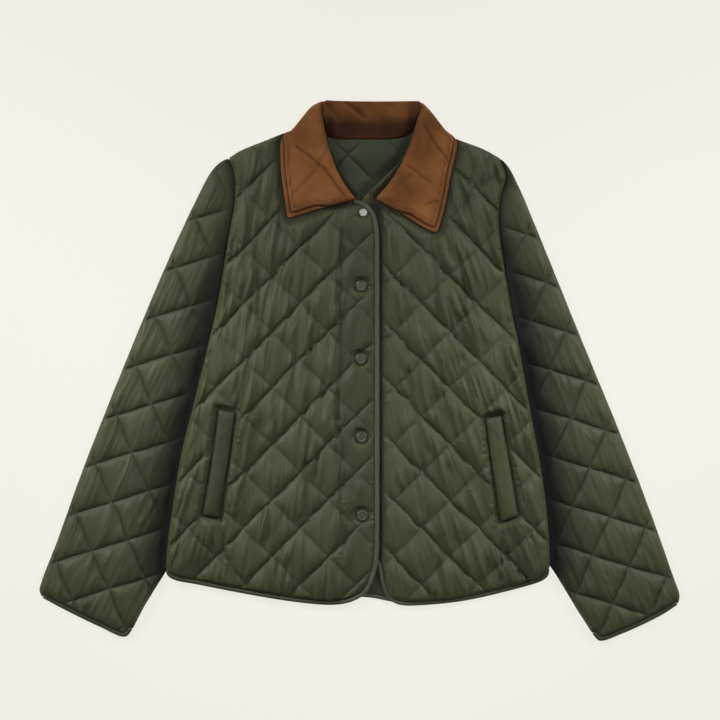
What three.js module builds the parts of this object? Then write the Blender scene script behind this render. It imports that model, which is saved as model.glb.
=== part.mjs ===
// A quilted jacket laid flat, front up, with its collar folded down and its snaps closed.
// Millimetres. +Z is up from the surface it lies on, +Y points to the collar, +X to the wearer's left.
// Every panel is a closed sheet of cloth: a rim, a plain inner face and an outer face raised by quilting.
import * as THREE from 'three';

// Walls and gaps
const SEAM_GAP = 0.3;      // between two pieces that are sewn together
const LAYER_GAP = 0.5;     // between a layer and the one that lies on it
const PLAIN_WALL = 2.1;    // a hidden or flattened layer
const SEAM_WALL = 1.9;     // a padded layer at its sewn edge
const UNDER_WALL = 3.0;    // a sleeve's under layer
const TUCK_WALL = 3.6;     // a sleeve's upper layer where the body lies on it
const VALLEY_WALL = 3.0;   // a padded layer along a quilting line
const CREST_WALL = 7.2;    // a padded layer at the middle of a diamond
const EDGE_ROUND = 10;     // how far in from a seam the padding reaches its full height
const ARCH = 2.6;          // how far a padded upper layer stands off the layer below, mid-panel
const ARCH_REACH = 60;

// Quilting: 2 inch squares set on their corners
const QUILT_SIDE = 50.7;
const QUILT_AXIS_X = 1.3;          // the two fronts' quilting mirrors about this line
const QUILT_NODE = { x: 6.4, y: 85.4 };   // a crossing, from the mirror line
const SLEEVE_QUILT = { along: [21.1, -48.6], across: [46.7, 14.1] };
const SLEEVE_NODE_R = [-312, -56.6];
const SLEEVE_NODE_L = [313.6, -75.9];

// Bindings
const EDGE_BINDING = 5.6;
const HEM_BINDING = 4.4;
const CUFF_BINDING = 4.4;

// Steps along rims, and across faces
const RIM_STEP = 16;
const PLAIN_STEP = 60;

// Moves the outlines so that the origin is under the middle of the jacket
const PLACE = { x: 0.5, y: -0.3 };

// Outlines, as [x, y] points that a smooth curve runs through
const ARMHOLE_R = [[-168, 272], [-161, 248], [-161, 214], [-167, 180], [-182, 91], [-194, 33]];
const SIDE_R = [[-194, 33], [-211, -37], [-227, -101], [-238, -165], [-246, -223], [-248, -252]];
const ARMHOLE_L = [[179, 272], [187, 248], [180, 222], [178, 190], [192, 91], [203, 33]];
const SIDE_L = [[203, 33], [215, -37], [227, -101], [237, -165], [242, -223], [242, -252]];
const SHOULDER_R = [[-168, 272], [-154, 281], [-115, 297], [-77, 311], [-51, 318]];
const SHOULDER_L = [[68, 318], [90, 311], [122, 297], [157, 284], [179, 272]];
const NECK_R = [[-51, 318], [-52, 298], [-47, 274], [-34, 246], [-16, 224], [-1, 217]];
const NECK_L = [[68, 318], [62, 290], [49, 266], [28, 246], [8, 226], [-6, 204], [-10, 180]];
const NECK_BACK = [[-51, 318], [-43, 306], [-28, 298], [8, 296], [44, 298], [60, 306], [68, 318]];
const HEM_R = [[-248, -252], [-246, -261], [-237, -267], [-205, -274], [-102, -293], [-51, -299], [-28, -299],
  [-8, -294], [8, -284], [19, -262], [24, -236], [25, -204]];
const LAP_R = [[25, -204], [25, 167]];
const LAP_TOP_R = [[25, 167], [23, 184], [19, 200], [13, 209.5], [-1, 217]];
const HEM_L = [[242, -252], [240, -262], [231, -269], [180, -284], [128, -295], [77, -300], [54, -300],
  [42, -296], [33, -287], [27, -271], [20, -246], [4, -220], [-6, -198], [-10, -165]];
const LAP_L = [[-10, -165], [-10, 180]];
const HEM_BACK = [[-248, -252], [-246, -259], [-237, -264], [-205, -271], [-102, -287], [-51, -290], [9, -290],
  [54, -297], [128, -291], [180, -281], [231, -266], [240, -260], [242, -252]];

const SLEEVE_OUT_R = [[-168, 272], [-180, 266], [-191, 254], [-207, 224], [-243, 147], [-301, 9], [-356, -130],
  [-389, -222], [-407, -268], [-410, -281], [-406, -290]];
const CUFF_R = [[-406, -290], [-384, -302], [-333, -327], [-300, -340], [-291, -331]];
const SLEEVE_IN_R = [[-291, -331], [-274, -299], [-248, -257], [-210, -195], [-169, -117], [-150, -50],
  [-157, -12], [-194, 33]];
const SLEEVE_OUT_L = [[179, 272], [189, 262], [202, 238], [227, 179], [283, 41], [340, -98], [375, -190],
  [401, -264], [409, -288], [406, -299]];
const CUFF_L = [[406, -299], [384, -313], [335, -336], [306, -345], [297, -336]];
const SLEEVE_IN_L = [[297, -336], [280, -310], [252, -264], [206, -194], [166, -117], [148, -50],
  [156, -12], [203, 33]];

// Collar: the leaf on each front, from its tip round its outer edge to the back, and the roll line back
const LEAF_R = [[-5, 219], [-26, 213], [-51, 207], [-84, 198.5], [-93, 201], [-97, 225], [-101, 260],
  [-99, 300], [-88, 307], [-77, 320], [-61, 338], [-46, 345]];
const ROLL_R = [[-46, 345], [-47, 327], [-42, 295], [-31, 261], [-17, 235], [-5, 219]];
const LEAF_L = [[19, 220], [51, 202], [86, 181.5], [99, 178.5], [107, 200], [116, 251], [123, 294],
  [109, 308], [90, 332], [79, 343]];
const ROLL_L = [[79, 343], [72, 320], [65, 294], [52, 264], [36, 239], [19, 220]];
const FALL_LOW = [[-92, 282], [-40, 277], [9, 275], [70, 277], [116, 282]];
const ROLL_HEIGHT_BACK = 25;
const ROLL_HEIGHT_TIP = 17;
const LEAF_WALL = 3.4;
const LEAF_EDGE_WALL = 1.8;
const LEAF_UNDER_WALL = 1.8;
const LEAF_GAP = 0.8;        // under a leaf, and between its two layers
const LEAF_RIM = 5.6;        // how far the under layer shows along a leaf's outer side
const LEAF_SIDE_TOP = 305;   // above this, at the shoulder, both layers are rolled together
const ROLL_REACH = 30;       // how far from the roll the leaf stays raised
const STAND_WALL = 2.6;
const FALL_ROLL = 9;         // how far in from the roll the fall is rounded up

// Pocket welts: the side sewn to the front, top to bottom, and the free side over the pocket
const WELT_R = {
  sewn: [[-159, -53], [-166, -105], [-180, -188]],
  free: [[-180, -49], [-189, -115], [-201, -184]],
};
const WELT_L = {
  sewn: [[160, -61], [168, -120], [180, -193]],
  free: [[180, -57], [190, -115], [202, -185]],
};
const WELT_WALL = 4.6;
const WELT_EDGE = 1.6;
const WELT_GAP = 0.8;

// Snaps down the lap: place and cap
const SNAPS = [
  { name: 'snap_1', x: 4, y: 202, radius: 4.8, tone: 0xc9c7be },
  { name: 'snap_2', x: 3, y: 108, radius: 7, tone: 0x3b4232 },
  { name: 'snap_3', x: 2, y: 15, radius: 7, tone: 0x3b4232 },
  { name: 'snap_4', x: 3, y: -85, radius: 7, tone: 0x3b4232 },
  { name: 'snap_5', x: 4, y: -185, radius: 7, tone: 0x3b4232 },
];
const SNAP_CAP = 2.6;

// Main creases: from one end to the other, with half width and depth
const CREASES = [
  { x1: -130, y1: 129, x2: -133, y2: 52, half: 9, depth: 2.4 },
  { x1: -133, y1: 52, x2: -154, y2: -31, half: 8, depth: 2.2 },
  { x1: -180, y1: -191, x2: -170, y2: -240, half: 8, depth: 2.4 },
  { x1: -170, y1: -240, x2: -142, y2: -275, half: 7, depth: 1.8 },
  { x1: -22, y1: 139, x2: -25, y2: 52, half: 7, depth: 1.8 },
  { x1: 90, y1: 174, x2: 106, y2: 78, half: 8, depth: 1.8 },
  { x1: 111, y1: 91, x2: 131, y2: 14, half: 8, depth: 2.4 },
  { x1: 131, y1: 14, x2: 158, y2: -55, half: 8, depth: 2.6 },
  { x1: 122, y1: 167, x2: 141, y2: 103, half: 7, depth: 1.8 },
  { x1: 198, y1: -193, x2: 232, y2: -226, half: 7, depth: 2.2 },
  { x1: 190, y1: -194, x2: 205, y2: -262, half: 6, depth: 2.2 },
  { x1: 182, y1: -197, x2: 180, y2: -268, half: 6, depth: 2.0 },
  { x1: 148, y1: 270, x2: 132, y2: 199, half: 8, depth: 2.0 },
];

const CLOTH = { color: 0x4f5439, roughness: 0.72, metalness: 0 };
const COLLAR_CLOTH = { color: 0x8a5327, roughness: 0.8, metalness: 0 };
const BINDING_CLOTH = { color: 0x66665a, roughness: 0.8, metalness: 0 };

// Plane geometry
const clamp01 = (t) => Math.min(1, Math.max(0, t));
const smoothStep = (t) => clamp01(t) ** 2 * (3 - 2 * clamp01(t));

function curve(points, step = RIM_STEP) {
  if (points.length === 2) {
    const [a, b] = points;
    const count = Math.ceil(Math.hypot(b[0] - a[0], b[1] - a[1]) / step);
    return Array.from({ length: count + 1 }, (_, i) => [
      a[0] + (b[0] - a[0]) * i / count, a[1] + (b[1] - a[1]) * i / count]);
  }
  const knots = points.map(([x, y]) => new THREE.Vector3(x, y, 0));
  const line = new THREE.CatmullRomCurve3(knots, false, 'centripetal');
  const count = Math.max(4, Math.ceil(line.getLength() / step));
  return line.getSpacedPoints(count).map((p) => [p.x, p.y]);
}

// Joins stretches end to end into a closed outline, leaving out each shared or crowded point
function join(...stretches) {
  const all = stretches.flat();
  const kept = all.filter(([x, y], i) => i === 0 || Math.hypot(x - all[i - 1][0], y - all[i - 1][1]) > 1.5);
  const [first, last] = [kept[0], kept[kept.length - 1]];
  return Math.hypot(first[0] - last[0], first[1] - last[1]) > 1.5 ? kept : kept.slice(0, -1);
}
const reversed = (stretch) => stretch.slice().reverse();

function segmentDistance(x, y, a, b) {
  const dx = b[0] - a[0];
  const dy = b[1] - a[1];
  const t = clamp01(((x - a[0]) * dx + (y - a[1]) * dy) / (dx * dx + dy * dy));
  return Math.hypot(x - a[0] - t * dx, y - a[1] - t * dy);
}

function distanceTo(outline, x, y, closed = true) {
  let best = Infinity;
  const last = closed ? outline.length : outline.length - 1;
  for (let i = 0; i < last; i++) {
    best = Math.min(best, segmentDistance(x, y, outline[i], outline[(i + 1) % outline.length]));
  }
  return best;
}

function inside(outline, x, y) {
  let odd = false;
  for (let i = 0, j = outline.length - 1; i < outline.length; j = i++) {
    const [xi, yi] = outline[i];
    const [xj, yj] = outline[j];
    if ((yi > y) !== (yj > y) && x < (xj - xi) * (y - yi) / (yj - yi) + xi) odd = !odd;
  }
  return odd;
}

const signedArea = (outline) => outline.reduce((sum, [x, y], i) => {
  const [u, v] = outline[(i + 1) % outline.length];
  return sum + (x * v - u * y) / 2;
}, 0);

const leftHanded = (outline) => (signedArea(outline) > 0 ? outline : reversed(outline));

// Unit normal to the left of the path at point i
function normalAt(path, i, closed) {
  const n = path.length;
  const before = closed ? path[(i + n - 1) % n] : path[Math.max(0, i - 1)];
  const after = closed ? path[(i + 1) % n] : path[Math.min(n - 1, i + 1)];
  const dx = after[0] - before[0];
  const dy = after[1] - before[1];
  const length = Math.hypot(dx, dy);
  return [-dy / length, dx / length];
}

function offset(path, distance, closed = false) {
  return path.map(([x, y], i) => {
    const [nx, ny] = normalAt(path, i, closed);
    return [x + nx * distance, y + ny * distance];
  });
}

const inset = (outline, distance) => offset(leftHanded(outline), distance, true);

// Delaunay triangles over a set of points, adding one point at a time
function triangulate(points) {
  const far = 1e5;
  const all = [...points, [-far, -far], [far, -far], [0, far]];
  const n = points.length;
  const make = (a, b, c) => {
    const [ax, ay] = all[a];
    const [bx, by] = all[b];
    const [cx, cy] = all[c];
    const d = 2 * ((bx - ax) * (cy - ay) - (cx - ax) * (by - ay));
    const b2 = (bx - ax) ** 2 + (by - ay) ** 2;
    const c2 = (cx - ax) ** 2 + (cy - ay) ** 2;
    const ux = ((cy - ay) * b2 - (by - ay) * c2) / d;
    const uy = ((bx - ax) * c2 - (cx - ax) * b2) / d;
    return { a, b, c, x: ax + ux, y: ay + uy, r2: ux * ux + uy * uy };
  };
  let triangles = [make(n, n + 1, n + 2)];
  for (let i = 0; i < n; i++) {
    const [x, y] = all[i];
    const edges = new Map();
    const kept = [];
    for (const t of triangles) {
      if ((x - t.x) ** 2 + (y - t.y) ** 2 >= t.r2) {
        kept.push(t);
        continue;
      }
      for (const [p, q] of [[t.a, t.b], [t.b, t.c], [t.c, t.a]]) {
        if (!edges.delete(`${q} ${p}`)) edges.set(`${p} ${q}`, [p, q]);
      }
    }
    for (const [p, q] of edges.values()) kept.push(make(p, q, i));
    triangles = kept;
  }
  return triangles.filter((t) => t.a < n && t.b < n && t.c < n).map((t) => [t.a, t.b, t.c]);
}

// A hair's breadth of unevenness, so that no four points lie on one circle
const uneven = ([x, y]) => [x + 0.02 * Math.sin(12.9 * x + 78.2 * y), y + 0.02 * Math.sin(39.3 * x + 11.1 * y)];

// Keeps each group's points that lie inside the rim and clear of those already kept
function scatter(rim, groups) {
  const kept = [];
  for (const { points, room } of groups) {
    for (const [x, y] of points) {
      if (!inside(rim, x, y) || distanceTo(rim, x, y) < Math.min(room * 0.8, 2.8)) continue;
      if (kept.every(([u, v]) => Math.hypot(x - u, y - v) >= room)) kept.push(uneven([x, y]));
    }
  }
  return kept;
}

const faceTriangles = (rim, inner) => {
  const all = [...rim, ...inner];
  return triangulate(all).filter(([a, b, c]) => inside(rim,
    (all[a][0] + all[b][0] + all[c][0]) / 3, (all[a][1] + all[b][1] + all[c][1]) / 3));
};

// Splits rim stretches until both faces keep every one of them as an edge
function settleRim(rim, upper, lower) {
  for (let round = 0; round < 8; round++) {
    const edges = [upper, lower].map((inner) => new Set(faceTriangles(rim, inner)
      .flatMap(([a, b, c]) => [`${a} ${b}`, `${b} ${c}`, `${c} ${a}`])));
    const next = rim.flatMap((p, i) => {
      const j = (i + 1) % rim.length;
      const q = rim[j];
      return edges.every((set) => set.has(`${i} ${j}`)) ? [p] : [p, [(p[0] + q[0]) / 2, (p[1] + q[1]) / 2]];
    });
    if (next.length === rim.length) return rim;
    rim = next;
  }
  return rim;
}

// A closed sheet between two height functions of (x, y)
function sheet(outline, upperGroups, lowerGroups, topAt, bottomAt) {
  const first = leftHanded(outline);
  const upper = scatter(first, upperGroups);
  const lower = scatter(first, lowerGroups);
  const rim = settleRim(first, upper, lower);
  const position = [];
  const index = [];
  const add = (points, at) => points.map(([x, y]) => position.push(x, y, at(x, y)) / 3 - 1);
  const topRim = add(rim, topAt);
  const bottomRim = add(rim, bottomAt);
  const top = [...topRim, ...add(upper, topAt)];
  const bottom = [...bottomRim, ...add(lower, bottomAt)];
  for (const [a, b, c] of faceTriangles(rim, upper)) index.push(top[a], top[b], top[c]);
  for (const [a, b, c] of faceTriangles(rim, lower)) index.push(bottom[a], bottom[c], bottom[b]);
  for (let i = 0; i < rim.length; i++) {
    const j = (i + 1) % rim.length;
    index.push(topRim[i], bottomRim[i], bottomRim[j], topRim[i], bottomRim[j], topRim[j]);
  }
  return solid(position, index);
}

function solid(position, index) {
  const geometry = new THREE.BufferGeometry();
  geometry.setAttribute('position', new THREE.Float32BufferAttribute(position, 3));
  geometry.setIndex(index);
  geometry.computeVertexNormals();
  return geometry;
}

// Rings of points joined into a closed tube, open at neither end
function tube(rings, looped = false) {
  const size = rings[0].length;
  const position = rings.flat(2);
  const index = [];
  const last = looped ? rings.length : rings.length - 1;
  for (let i = 0; i < last; i++) {
    const a = i * size;
    const b = ((i + 1) % rings.length) * size;
    for (let k = 0; k < size; k++) {
      const m = (k + 1) % size;
      index.push(a + k, a + m, b + m, a + k, b + m, b + k);
    }
  }
  if (!looped) {
    const end = (rings.length - 1) * size;
    for (let k = 1; k < size - 1; k++) {
      index.push(0, k + 1, k);
      index.push(end, end + k, end + k + 1);
    }
  }
  return solid(position, index);
}

const group = new THREE.Group();
group.position.set(PLACE.x, PLACE.y, 0);

function addPiece(name, geometry, look) {
  const mesh = new THREE.Mesh(geometry, new THREE.MeshStandardMaterial(look));
  mesh.name = name;
  group.add(mesh);
  return mesh;
}

// Quilting: coordinates whose whole numbers are the sewn lines
function quiltFrame(node, along, across) {
  const det = along[0] * across[1] - along[1] * across[0];
  const toQuilt = (x, y) => {
    const dx = x - node[0];
    const dy = y - node[1];
    return [(dx * across[1] - dy * across[0]) / det, (along[0] * dy - along[1] * dx) / det];
  };
  const toPlane = (a, b) => [node[0] + a * along[0] + b * across[0], node[1] + a * along[1] + b * across[1]];
  return { toQuilt, toPlane };
}

// Height of a pillow between sewn lines, 0 on the lines and 1 at its middle
function pillow(frame, x, y) {
  const [a, b] = frame.toQuilt(x, y);
  const rise = (t) => 1 - Math.abs(2 * (t - Math.floor(t)) - 1) ** 2.6;
  return Math.sqrt(rise(a) * rise(b));
}

const PILLOW_STEPS = [0, 0.2, 0.5, 0.8];

function quiltPoints(frame, rim) {
  const points = [];
  const box = new THREE.Box2().setFromPoints(rim.map(([x, y]) => new THREE.Vector2(x, y)));
  const reach = 14;
  for (let i = -reach; i <= reach; i++) {
    for (let j = -reach; j <= reach; j++) {
      for (const a of PILLOW_STEPS) {
        for (const b of PILLOW_STEPS) {
          const [x, y] = frame.toPlane(i + a, j + b);
          if (x > box.min.x && x < box.max.x && y > box.min.y && y < box.max.y) points.push([x, y]);
        }
      }
    }
  }
  return points;
}

const half = QUILT_SIDE / Math.SQRT2;
const frontQuilt = (hand) => quiltFrame([QUILT_AXIS_X + hand * QUILT_NODE.x, QUILT_NODE.y],
  [half, half], [half, -half]);
const QUILTS = {
  front_R: frontQuilt(-1),
  front_L: frontQuilt(1),
  back: quiltFrame([20, 239.7], [half, half], [half, -half]),
  sleeve_R: quiltFrame(SLEEVE_NODE_R, SLEEVE_QUILT.along, SLEEVE_QUILT.across),
  sleeve_L: quiltFrame(SLEEVE_NODE_L, [-SLEEVE_QUILT.along[0], SLEEVE_QUILT.along[1]],
    [-SLEEVE_QUILT.across[0], SLEEVE_QUILT.across[1]]),
};

const creaseDepth = (x, y) => CREASES.reduce((sum, c) => {
  const away = segmentDistance(x, y, [c.x1, c.y1], [c.x2, c.y2]);
  return sum + c.depth * Math.exp(-((away / c.half) ** 2) * 2);
}, 0);

// Rows of points along each crease, and a little to both sides of it
const creasePoints = CREASES.flatMap((c) => {
  const spine = curve([[c.x1, c.y1], [c.x2, c.y2]], 10);
  return [spine, offset(spine, c.half * 0.8), offset(spine, -c.half * 0.8)].flat();
});

// Grid of points at one spacing, for plain faces
function gridPoints(step) {
  const points = [];
  for (let x = -420; x <= 420; x += step) {
    for (let y = -350; y <= 350; y += step) points.push([x, y + (Math.round(x / step) % 2) * step / 2]);
  }
  return points;
}

// Shared rims, walked once and used by each piece that meets there
const armhole = { R: curve(ARMHOLE_R), L: curve(ARMHOLE_L) };
const side = { R: curve(SIDE_R), L: curve(SIDE_L) };
const shoulder = { R: curve(SHOULDER_R), L: curve(SHOULDER_L) };
const neck = { R: curve(NECK_R, 10), L: curve(NECK_L, 10), back: curve(NECK_BACK, 10) };
const hem = { R: curve(HEM_R, 12), L: curve(HEM_L, 12), back: curve(HEM_BACK, 14) };

// Bound edges, hem first and then up the opening
const boundPath = {
  R: [...hem.R.slice(0, -1), ...curve(LAP_R, 19).slice(0, -1), ...curve(LAP_TOP_R, 10)],
  L: hem.L.concat(curve(LAP_L, 23).slice(1)),
  back: hem.back,
};
const bindingWidth = (x, y) => HEM_BINDING + (EDGE_BINDING - HEM_BINDING) * smoothStep((y + 290) / 40);

// The inner line of a binding, to the left or right of the path that it follows
function boundInner(path, turn, share = 1) {
  return path.map(([x, y], i) => {
    const [nx, ny] = normalAt(path, i, false);
    const w = bindingWidth(x, y) * turn * share;
    return [x + nx * w, y + ny * w];
  });
}

// Where a sleeve runs on under the body, below the pit of the arm
const sleeveInner = { R: curve(SLEEVE_IN_R), L: curve(SLEEVE_IN_L) };
const bodyEdge = { R: [...armhole.R, ...side.R.slice(1)], L: [...armhole.L, ...side.L.slice(1)] };
const bodyOutline = join(reversed(bodyEdge.R), shoulder.R, neck.back, shoulder.L, bodyEdge.L,
  reversed(hem.back));

function tucked(s) {
  const within = sleeveInner[s].filter(([x, y]) => inside(bodyOutline, x, y));
  return leftHanded(join(within, side[s]));
}
const TUCK = { R: tucked('R'), L: tucked('L') };

// Heights of the layers, from the surface up
const SLEEVE_BASE = UNDER_WALL + LAYER_GAP;
const TUCK_TOP = SLEEVE_BASE + TUCK_WALL;
const TUCK_LIFT = TUCK_TOP + LAYER_GAP;
const TUCK_RAMP = 36;
const FALL_WALL = 2.2;
const FALL_LIFT = FALL_WALL + LAYER_GAP;
const FALL_RAMP = 24;

const awayFrom = (outline, x, y) => (inside(outline, x, y) ? 0 : distanceTo(outline, x, y));

const fallLow = curve(FALL_LOW, 12);
const fallTop = [...curve(LEAF_R.slice(7), 8), ...curve([[-46, 345], [9, 346], [79, 343]], 11).slice(1),
  ...reversed(curve(LEAF_L.slice(6), 8)).slice(1)];
const FALL = leftHanded(join(reversed(fallLow), fallTop));

function bodyLift(x, y) {
  const tuck = Math.min(awayFrom(TUCK.R, x, y), awayFrom(TUCK.L, x, y));
  return Math.max(TUCK_LIFT * smoothStep(1 - Math.max(0, tuck - 2) / TUCK_RAMP),
    FALL_LIFT * smoothStep(1 - Math.max(0, awayFrom(FALL, x, y) - 2) / FALL_RAMP));
}

// Rows of points where the body climbs onto a hidden layer
const rampPoints = [0, 0.3, 0.7, 1].flatMap((share) => [
  ...offset(TUCK.R, -2 - TUCK_RAMP * share, true),
  ...offset(TUCK.L, -2 - TUCK_RAMP * share, true),
  ...offset(FALL, -2 - FALL_RAMP * share, true),
]);
const tuckPoints = [...TUCK.R, ...TUCK.L, ...FALL];

// The neck opening, over which the back's quilting shows
const backNeckOpening = leftHanded(join(neck.R, reversed(neck.L), reversed(neck.back)));

const backTop = (x, y) => {
  const shows = inside(backNeckOpening, x, y) ? smoothStep((distanceTo(backNeckOpening, x, y) - 3) / 9) : 0;
  return bodyLift(x, y) + PLAIN_WALL + shows * 3.2 * pillow(QUILTS.back, x, y);
};

const backOutline = leftHanded(join(side.R, boundInner(hem.back, 1), reversed(side.L), reversed(armhole.L),
  reversed(shoulder.L), reversed(neck.back), reversed(shoulder.R), armhole.R));
const layerPoints = [
  { points: rampPoints, room: 12 },
  { points: tuckPoints, room: 14 },
  { points: gridPoints(PLAIN_STEP), room: PLAIN_STEP * 0.55 },
];
const neckQuilt = quiltPoints(QUILTS.back, backNeckOpening);
addPiece('back_panel', sheet(inset(backOutline, SEAM_GAP / 2),
  [{ points: [...neck.R, ...neck.L], room: 5 }, { points: neckQuilt, room: 8 }, ...layerPoints], layerPoints,
  backTop, bodyLift), CLOTH);

// Fronts: the left one lies under the lap of the right one
const LAP_EDGE_X = 25;
const LAP_RAMP = [-34, -27, -21, -14];   // where the right front climbs onto the left one
const frontBase = (x, y) => bodyLift(x, y) + PLAIN_WALL + LAYER_GAP;
const LAP_LIFT = PLAIN_WALL + LAYER_GAP;
const lapLift = (x) => LAP_LIFT * smoothStep((x - LAP_RAMP[0]) / (LAP_RAMP[3] - LAP_RAMP[0]));

const arch = (outline, x, y) => ARCH * smoothStep(distanceTo(outline, x, y) / ARCH_REACH);
const roundEdge = (d) => Math.sqrt(1 - (1 - clamp01(d / EDGE_ROUND)) ** 2);

function weltOutline({ sewn, free }) {
  const [top, bottom] = [[free[0], sewn[0]], [sewn[2], free[2]]];
  return leftHanded(join(curve(top, 10), curve(sewn), curve(bottom, 10), reversed(curve(free))));
}
const weltShape = { R: weltOutline(WELT_R), L: weltOutline(WELT_L) };

// Each leaf's outline, and the upper layer's, which stops short of the under layer's outer edge
const leafLine = { R: curve(LEAF_R, 10), L: curve(LEAF_L, 10) };
const rollLine = { R: curve(ROLL_R, 12), L: curve(ROLL_L, 12) };
const leafShape = { R: leftHanded(join(leafLine.R, rollLine.R)), L: leftHanded(join(leafLine.L, rollLine.L)) };

// 0 under a welt, a snap, a collar leaf or the other front's lap, 1 a little way from them
function freeOfTrim(s, x, y) {
  const leaf = smoothStep((awayFrom(leafShape[s], x, y) - 2) / 14);
  const welt = smoothStep((awayFrom(weltShape[s], x, y) - 2) / 12);
  const fromSnap = Math.min(...SNAPS.map((p) => Math.hypot(x - p.x, y - p.y) - p.radius));
  const snap = s === 'R' ? smoothStep((fromSnap - 2) / 9) : 1;
  const lap = s === 'L' && y < 219 ? smoothStep((x - LAP_EDGE_X - 2) / 9) : 1;
  return Math.min(welt, snap, leaf, lap);
}

function paddedTop(outline, quilt, baseAt, freeAt) {
  return (x, y) => {
    const d = distanceTo(outline, x, y);
    const free = freeAt(x, y);
    const pad = VALLEY_WALL + (CREST_WALL - VALLEY_WALL) * pillow(quilt, x, y);
    const rounded = PLAIN_WALL + (pad - PLAIN_WALL) * roundEdge(d) * free;
    return baseAt(x, y) + Math.max(SEAM_WALL, rounded - creaseDepth(x, y) * free * roundEdge(d));
  };
}

const weltPoints = Object.fromEntries(['R', 'L'].map((s) => [s,
  [2, 9].flatMap((d) => offset(weltShape[s], -d, true)).concat(offset(weltShape[s], 6, true))]));
const leafPoints = { R: [3, 10].flatMap((d) => offset(leafShape.R, -d, true)),
  L: [3, 10].flatMap((d) => offset(leafShape.L, -d, true)) };
const circle = (x, y, r, count) => Array.from({ length: count }, (_, k) => [
  x + r * Math.cos(2 * Math.PI * k / count), y + r * Math.sin(2 * Math.PI * k / count)]);
const snapPoints = SNAPS.flatMap(({ x, y, radius }) => [
  [x, y], ...circle(x, y, radius + 2, 8), ...circle(x, y, radius + 8, 8)]);
const lapPoints = [2, 8].flatMap((d) => curve([[LAP_EDGE_X + d, -280], [LAP_EDGE_X + d, 215]], 13));
const lapRamp = LAP_RAMP.flatMap((x) => curve([[x, -290], [x, 212]], 18));

function front(s, name) {
  const innerBound = boundInner(boundPath[s], s === 'R' ? 1 : -1);
  const whole = s === 'R'
    ? join(side.R, innerBound, reversed(neck.R), reversed(shoulder.R), armhole.R)
    : join(side.L, innerBound, reversed(neck.L), shoulder.L, armhole.L);
  const rim = inset(whole, SEAM_GAP / 2);
  const open = (x, y) => arch(rim, x, y) * (s === 'L' ? smoothStep((x - LAP_EDGE_X) / 30) : 1);
  const base = s === 'R'
    ? (x, y) => frontBase(x, y) + Math.max(lapLift(x), arch(rim, x, y))
    : (x, y) => frontBase(x, y) + open(x, y);
  const trim = s === 'R'
    ? [{ points: snapPoints, room: 5 }, { points: [...weltPoints.R, ...leafPoints.R], room: 5.5 }]
    : [{ points: lapPoints, room: 5.5 }, { points: [...weltPoints.L, ...leafPoints.L], room: 5.5 }];
  const rings = [...offset(rim, 3.2, true), ...offset(rim, EDGE_ROUND, true)];
  const top = paddedTop(rim, QUILTS[`front_${s}`], base, (x, y) => freeOfTrim(s, x, y));
  const geometry = sheet(rim,
    [...trim, { points: rings, room: 7 }, { points: creasePoints, room: 7 },
      { points: rampPoints.filter(([x, y]) => inside(leafShape[s], x, y)), room: 8 },
      { points: quiltPoints(QUILTS[`front_${s}`], rim), room: 8 }],
    [{ points: s === 'R' ? lapRamp : [], room: 5.5 }, ...layerPoints], top, base);
  addPiece(name, geometry, CLOTH);
  return { rim, base, top };
}
const fronts = { R: front('R', 'front_right'), L: front('L', 'front_left') };

// Sleeves: an under panel on the surface and a padded upper panel over it
function sleeve(s, word) {
  const out = curve(s === 'R' ? SLEEVE_OUT_R : SLEEVE_OUT_L);
  const cuff = curve(s === 'R' ? CUFF_R : CUFF_L, 9);
  const turn = s === 'R' ? 1 : -1;
  const cuffInner = offset(cuff, turn * CUFF_BINDING);
  const rim = inset(join(out, cuffInner, sleeveInner[s], reversed(armhole[s])), SEAM_GAP / 2);
  const base = (x, y) => SLEEVE_BASE
    + ARCH * smoothStep(distanceTo(rim, x, y) / ARCH_REACH) * smoothStep((awayFrom(TUCK[s], x, y) - 2) / 40);
  const free = (x, y) => smoothStep((awayFrom(TUCK[s], x, y) - 2) / 20);
  const quilt = QUILTS[`sleeve_${s}`];
  const top = (x, y) => {
    const pad = VALLEY_WALL + (CREST_WALL - VALLEY_WALL) * pillow(quilt, x, y);
    const full = TUCK_WALL + (pad - TUCK_WALL) * free(x, y);
    return base(x, y) + SEAM_WALL + (full - SEAM_WALL) * roundEdge(distanceTo(rim, x, y));
  };
  const rings = [...offset(rim, 3.2, true), ...offset(rim, EDGE_ROUND, true)];
  const tuckRing = [2, 12, 22].flatMap((d) => offset(TUCK[s], -d, true));
  const plain = [{ points: gridPoints(PLAIN_STEP), room: PLAIN_STEP * 0.55 }];
  addPiece(`sleeve_${word}_under`, sheet(rim, plain, plain, () => UNDER_WALL, () => 0), CLOTH);
  addPiece(`sleeve_${word}_upper`, sheet(rim,
    [{ points: tuckRing, room: 8 }, { points: rings, room: 7 }, { points: TUCK[s], room: 10 },
      { points: quiltPoints(quilt, rim).filter(([x, y]) => !inside(TUCK[s], x, y)), room: 7.5 },
      { points: gridPoints(PLAIN_STEP), room: 26 }],
    plain, top, base), CLOTH);
  return { rim, cuff, turn };
}
const sleeves = { R: sleeve('R', 'right'), L: sleeve('L', 'left') };

// The first point of a stretch moved towards the second by the width of a seam gap
function pulledIn([a, b]) {
  const share = 1.6 * SEAM_GAP / Math.hypot(b[0] - a[0], b[1] - a[1]);
  return [[a[0] + (b[0] - a[0]) * share, a[1] + (b[1] - a[1]) * share], b];
}

const shortOfEnds = (path) => [...pulledIn(path.slice(0, 2)), ...path.slice(2, -2),
  ...reversed(pulledIn(reversed(path).slice(0, 2)))];

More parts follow.
